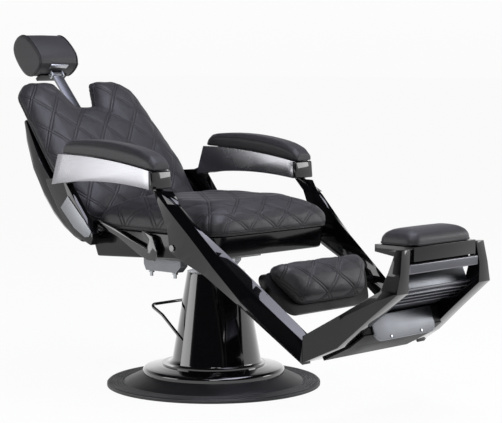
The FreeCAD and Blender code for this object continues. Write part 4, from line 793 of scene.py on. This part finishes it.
# %% Foot pad
# The gathers at the corner by the post: reach and depth in millimetres, and how many
GATHER_REACH = 22.0
GATHER_DEEP = 2.4
GATHER_FOLDS = 9
GATHER_OFFSET = 12
foot_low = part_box("foot_cushion")[0]
foot_mesh = stuffed(merged_copy("foot_cushion"), voxel_mm=4.5, shrink_mm=2.5, plump_mm=2.0,
                    resting=lambda points: points[:, 2] < foot_low[2] + REST_MM * MM)
foot_mesh = subdivided(foot_mesh)
foot_points = points_of(foot_mesh)
out_x, out_y = ((foot_points[:, :2] - np.array([foot_low[0], foot_low[1]])) * 1000).T
nearness = np.exp(-(np.hypot(out_x, out_y) / GATHER_REACH) ** 2)
bearing = np.arctan2(out_y + GATHER_OFFSET, out_x + GATHER_OFFSET)
folds = 0.5 + 0.5 * np.cos(GATHER_FOLDS * bearing)
tuck = GATHER_DEEP * MM * nearness * folds
put_points(foot_mesh, foot_points - normals_of(foot_mesh) * tuck[:, None])
upholstered(foot_mesh, "leather_foot_pad", "foot_cushion", plain_leather)
print("foot pad faces", len(foot_mesh.polygons))

# %% Armrest pads


def none_rest(points):
    """No point of a pad is held."""
    return np.zeros(len(points), dtype=bool)


arm_meshes = {}
for side in SIDES:
    node = f"armrest_pad_{side}"
    arm_meshes[side] = stuffed(merged_copy(node), voxel_mm=4.0, shrink_mm=1.5, plump_mm=1.2,
                               resting=none_rest, pressure=1.5, soften=3)
    upholstered(subdivided(arm_meshes[side]), f"leather_armrest_pad_{side}", node, plain_leather)
print("armrest pads", len(arm_meshes))

# %% [markdown]
# ## Head pad
# The head pad is a bolster: one outline carried across the chair, closed by two almost flat
# ends. A hand-drawn outline could miss the bracket that the pad sits on, so it is cut from the
# CAD block by a plane, rounded, and set up again as rings. The same cut later finds the seams.

# %% Lines where a plane cuts a cushion
LOOP_STEP_MM = 5
LEAST_STOPS = 16
LOOP_ROUNDS = 3


def eased(loop, rounds):
    """A closed line whose points move towards their neighbours, again and again."""
    for step in range(rounds):
        loop = 0.5 * loop + 0.25 * (np.roll(loop, 1, axis=0) + np.roll(loop, -1, axis=0))
    return loop


def section_loop(mesh, point, normal):
    """Longest closed line where a plane cuts a mesh, as evenly spaced points."""
    shell = bmesh.new()
    shell.from_mesh(mesh)
    everything = shell.verts[:] + shell.edges[:] + shell.faces[:]
    cut = bmesh.ops.bisect_plane(shell, geom=everything, plane_co=point, plane_no=normal)
    follow = {}
    for part in cut["geom_cut"]:
        if isinstance(part, bmesh.types.BMEdge):
            first, second = part.verts
            follow.setdefault(first, []).append(second)
            follow.setdefault(second, []).append(first)
    longest = []
    unseen = dict.fromkeys(follow)
    while unseen:
        walker = next(iter(unseen))
        line = []
        while walker is not None:
            unseen.pop(walker)
            line.append(tuple(walker.co))
            walker = next((near for near in follow[walker] if near in unseen), None)
        longest = max(longest, line, key=len)
    shell.free()
    line = np.array(longest + longest[:1])
    run = np.concatenate([[0.0], np.cumsum(np.linalg.norm(np.diff(line, axis=0), axis=1))])
    count = max(LEAST_STOPS, int(run[-1] / (LOOP_STEP_MM * MM)))
    stops = np.linspace(0.0, run[-1], count, endpoint=False)
    even = np.column_stack([np.interp(stops, run, line[:, axis]) for axis in range(3)])
    return eased(even, LOOP_ROUNDS)


# %% Head pad
HEAD_HALF = 82.0
HEAD_ROUNDING = 40
# How far up the back the pad meets its shell, in millimetres
HEAD_REST_MM = 409
# Rings from end to end: share of the half width, share of the outline, dome in millimetres
HEAD_STATIONS = ((-1.0, 0.0, 2.0), (-1.0, 0.6, 1.5), (-1.0, 0.97, 0.0), (-0.97, 1.0, 0.0), (0.0, 1.02, 0.0),
                 (0.97, 1.0, 0.0), (1.0, 0.97, 0.0), (1.0, 0.6, 1.5), (1.0, 0.0, 2.0))
LEAST_RING = 0.02
TINY = 1e-9
head_block = bpy.data.meshes.new("head_block")
whole = merged_copy("headrest_pad")
whole.to_mesh(head_block)
whole.free()
outline = section_loop(head_block, (0, 0, 0), (1, 0, 0))
bpy.data.meshes.remove(head_block)
middle = outline.mean(axis=0)
reach = np.ptp(outline, axis=0)
outline = eased(outline, HEAD_ROUNDING)
regrown = np.where(reach > 0, reach, 1) / np.maximum(np.ptp(outline, axis=0), TINY)
outline = middle + (outline - outline.mean(axis=0)) * regrown
bolster = bmesh.new()
rings = []
for station, grown_by, dome in HEAD_STATIONS:
    across = station * HEAD_HALF + math.copysign(dome, station)
    ring = middle + (outline - middle) * max(grown_by, LEAST_RING)
    rings.append([bolster.verts.new((across * MM, place[1], place[2])) for place in ring])
for ring, onward in zip(rings, rings[1:]):
    for number in range(len(ring)):
        after = (number + 1) % len(ring)
        bolster.faces.new((ring[number], ring[after], onward[after], onward[number]))
bolster.faces.new(rings[0])
bolster.faces.new(rings[-1])
bmesh.ops.recalc_face_normals(bolster, faces=bolster.faces)
head_mesh = stuffed(bolster, voxel_mm=4.0, shrink_mm=1.5, plump_mm=2.5,
                    resting=lambda points: along(points, BACK_ORIGIN, BACK_UP) < HEAD_REST_MM,
                    pressure=2.0, soften=7)
head_mesh = subdivided(head_mesh)
upholstered(head_mesh, "leather_head_pad", "headrest_pad", plain_leather)
print("head pad faces", len(head_mesh.polygons))

# %% [markdown]
# ## Piping and stitches
# Piping is a cord in a strip of leather, sewn into a seam; it follows the seam all the way round.
# Thousands of stitches follow the needle rows. Both are grown along lines by node trees with
# their sizes as inputs, then turned into plain meshes, one for each body.

# %% Node trees that follow lines


def line_tree(name, sizes):
    """Empty geometry tree with lines, sizes and a material as inputs."""
    tree = bpy.data.node_groups.new(name, "GeometryNodeTree")
    tree.interface.new_socket(name="Lines", in_out="INPUT", socket_type="NodeSocketGeometry")
    for label in sizes:
        tree.interface.new_socket(name=label, in_out="INPUT", socket_type="NodeSocketFloat")
    tree.interface.new_socket(name="Material", in_out="INPUT", socket_type="NodeSocketMaterial")
    tree.interface.new_socket(name="Geometry", in_out="OUTPUT", socket_type="NodeSocketGeometry")
    given = add(tree, "NodeGroupInput")
    path = add(tree, "GeometryNodeMeshToCurve", {"Mesh": given.outputs["Lines"]})
    return tree, given, path


def close_tree(tree, given, shape):
    """End a tree: real geometry, smooth, in the material."""
    real = add(tree, "GeometryNodeRealizeInstances", {"Geometry": shape})
    smooth = add(tree, "GeometryNodeSetShadeSmooth", {"Geometry": real.outputs[0]})
    coloured = add(tree, "GeometryNodeSetMaterial", {"Geometry": smooth.outputs[0],
                                                     "Material": given.outputs["Material"]})
    add(tree, "NodeGroupOutput", {"Geometry": coloured.outputs[0]})


piping, given, path = line_tree("piping", ("Bead radius",))
bead = add(piping, "GeometryNodeCurvePrimitiveCircle", {"Resolution": 8,
                                                        "Radius": given.outputs["Bead radius"]})
tube = add(piping, "GeometryNodeCurveToMesh", {"Curve": path.outputs[0], "Profile Curve": bead.outputs[0]})
close_tree(piping, given, tube.outputs[0])

stitching, given, path = line_tree("stitching", ("Pitch", "Half length", "Half width"))
stops = add(stitching, "GeometryNodeCurveToPoints", {"Curve": path.outputs[0],
                                                     "Length": given.outputs["Pitch"]}, mode="LENGTH")
seed = add(stitching, "GeometryNodeMeshIcoSphere", {"Radius": 1.0, "Subdivisions": 1})
size = add(stitching, "ShaderNodeCombineXYZ", {
    "X": given.outputs["Half width"], "Y": given.outputs["Half width"], "Z": given.outputs["Half length"]})
thread = add(stitching, "GeometryNodeInstanceOnPoints", {
    "Points": stops.outputs["Points"], "Instance": seed.outputs[0], "Rotation": stops.outputs["Rotation"],
    "Scale": size.outputs[0]})
close_tree(stitching, given, thread.outputs[0])
print("trees", piping.name, stitching.name)

# %% Grow along lines


def grown(name, tree, sizes, material, lines, closed):
    """Plain mesh that a tree grows along lines."""
    points, links = [], []
    for line in lines:
        first = len(points)
        points.extend(tuple(place) for place in line)
        links.extend((first + number, first + number + 1) for number in range(len(line) - 1))
        if closed:
            links.append((first + len(line) - 1, first))
    guide = bpy.data.meshes.new(name)
    guide.from_pydata(points, links, [])
    holder = bpy.data.objects.new(name, guide)
    scene.collection.objects.link(holder)
    grow = holder.modifiers.new("grow", "NODES")
    grow.node_group = tree
    wanted = dict(sizes, Material=material)
    for socket in tree.interface.items_tree:
        if socket.name in wanted:
            grow[socket.identifier] = wanted[socket.name]
    graph = bpy.context.evaluated_depsgraph_get()
    mesh = bpy.data.meshes.new_from_object(holder.evaluated_get(graph))
    bpy.data.objects.remove(holder)
    bpy.data.meshes.remove(guide)
    return mesh


# %% Stitches of the quilting
THREAD = {"Pitch": 4.0 * MM, "Half length": 1.55 * MM, "Half width": 0.55 * MM}
SEWN = {"seat": (seat_mesh, seat_plan), "back": (back_mesh, back_plan), "leg_frame": (calf_mesh, calf_plan)}
for body, (mesh, (plan, share)) in SEWN.items():
    lines = stitch_lines(mesh, plan, share)
    stitches = grown(f"stitches_{body}", stitching, THREAD, FINISHES["waxed_black_thread"], lines, False)
    place_piece(stitches, f"stitches_{body}", FINISHES["waxed_black_thread"], body)
    print("stitch rows on", body, len(lines), "faces", len(stitches.polygons))

# %% Piping
UP = (0, 0, 1)
ACROSS = (1, 0, 0)
# Where the seams lie, in millimetres: above a cushion's foot, behind the back's origin, in from an end
SEAT_SEAMS = (3.0, 10.0)
BACK_SEAMS = (-4.0, 6.0)
LEG_SEAM = 5
HEAD_SEAM_IN = 8
ARM_SEAM_IN = 5
ARM_BEAD_MM = 0.9
seat_seams = [section_loop(seat_mesh, (0, 0, seat_low[2] + rise * MM), UP) for rise in SEAT_SEAMS]
back_seams = [section_loop(back_mesh, BACK_ORIGIN + BACK_REAR * rear * MM, BACK_REAR)
              for rear in BACK_SEAMS]
calf_seams = [section_loop(calf_mesh, CALF_TOP + CALF_FACE * LEG_SEAM * MM, CALF_FACE)]
foot_seams = [section_loop(foot_mesh, (0, 0, foot_low[2] + LEG_SEAM * MM), UP)]
head_seams = [section_loop(head_mesh, (end * (HEAD_HALF - HEAD_SEAM_IN) * MM, 0, 0), ACROSS)
              for end in (-1, 1)]
# Each body's seams and the radius of their bead in millimetres
SEAMS = {"seat": (seat_seams, 1.7), "back": (back_seams, 2.0), "leg_frame": (calf_seams, 1.7),
         "foot_pad": (foot_seams, 1.5), "headrest": (head_seams, 3.0)}
for side, mesh in arm_meshes.items():
    arm_low, arm_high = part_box(f"armrest_pad_{side}")
    edges = (arm_low[0] + ARM_SEAM_IN * MM, arm_high[0] - ARM_SEAM_IN * MM)
    SEAMS[f"armrest_{side}"] = ([section_loop(mesh, (edge, 0, 0), ACROSS) for edge in edges], ARM_BEAD_MM)
for body, (lines, radius) in SEAMS.items():
    bead = grown(f"piping_{body}", piping, {"Bead radius": radius * MM}, welt_leather, lines, True)
    place_piece(bead, f"piping_{body}", welt_leather, body)
    print("piping on", body, "faces", len(bead.polygons))
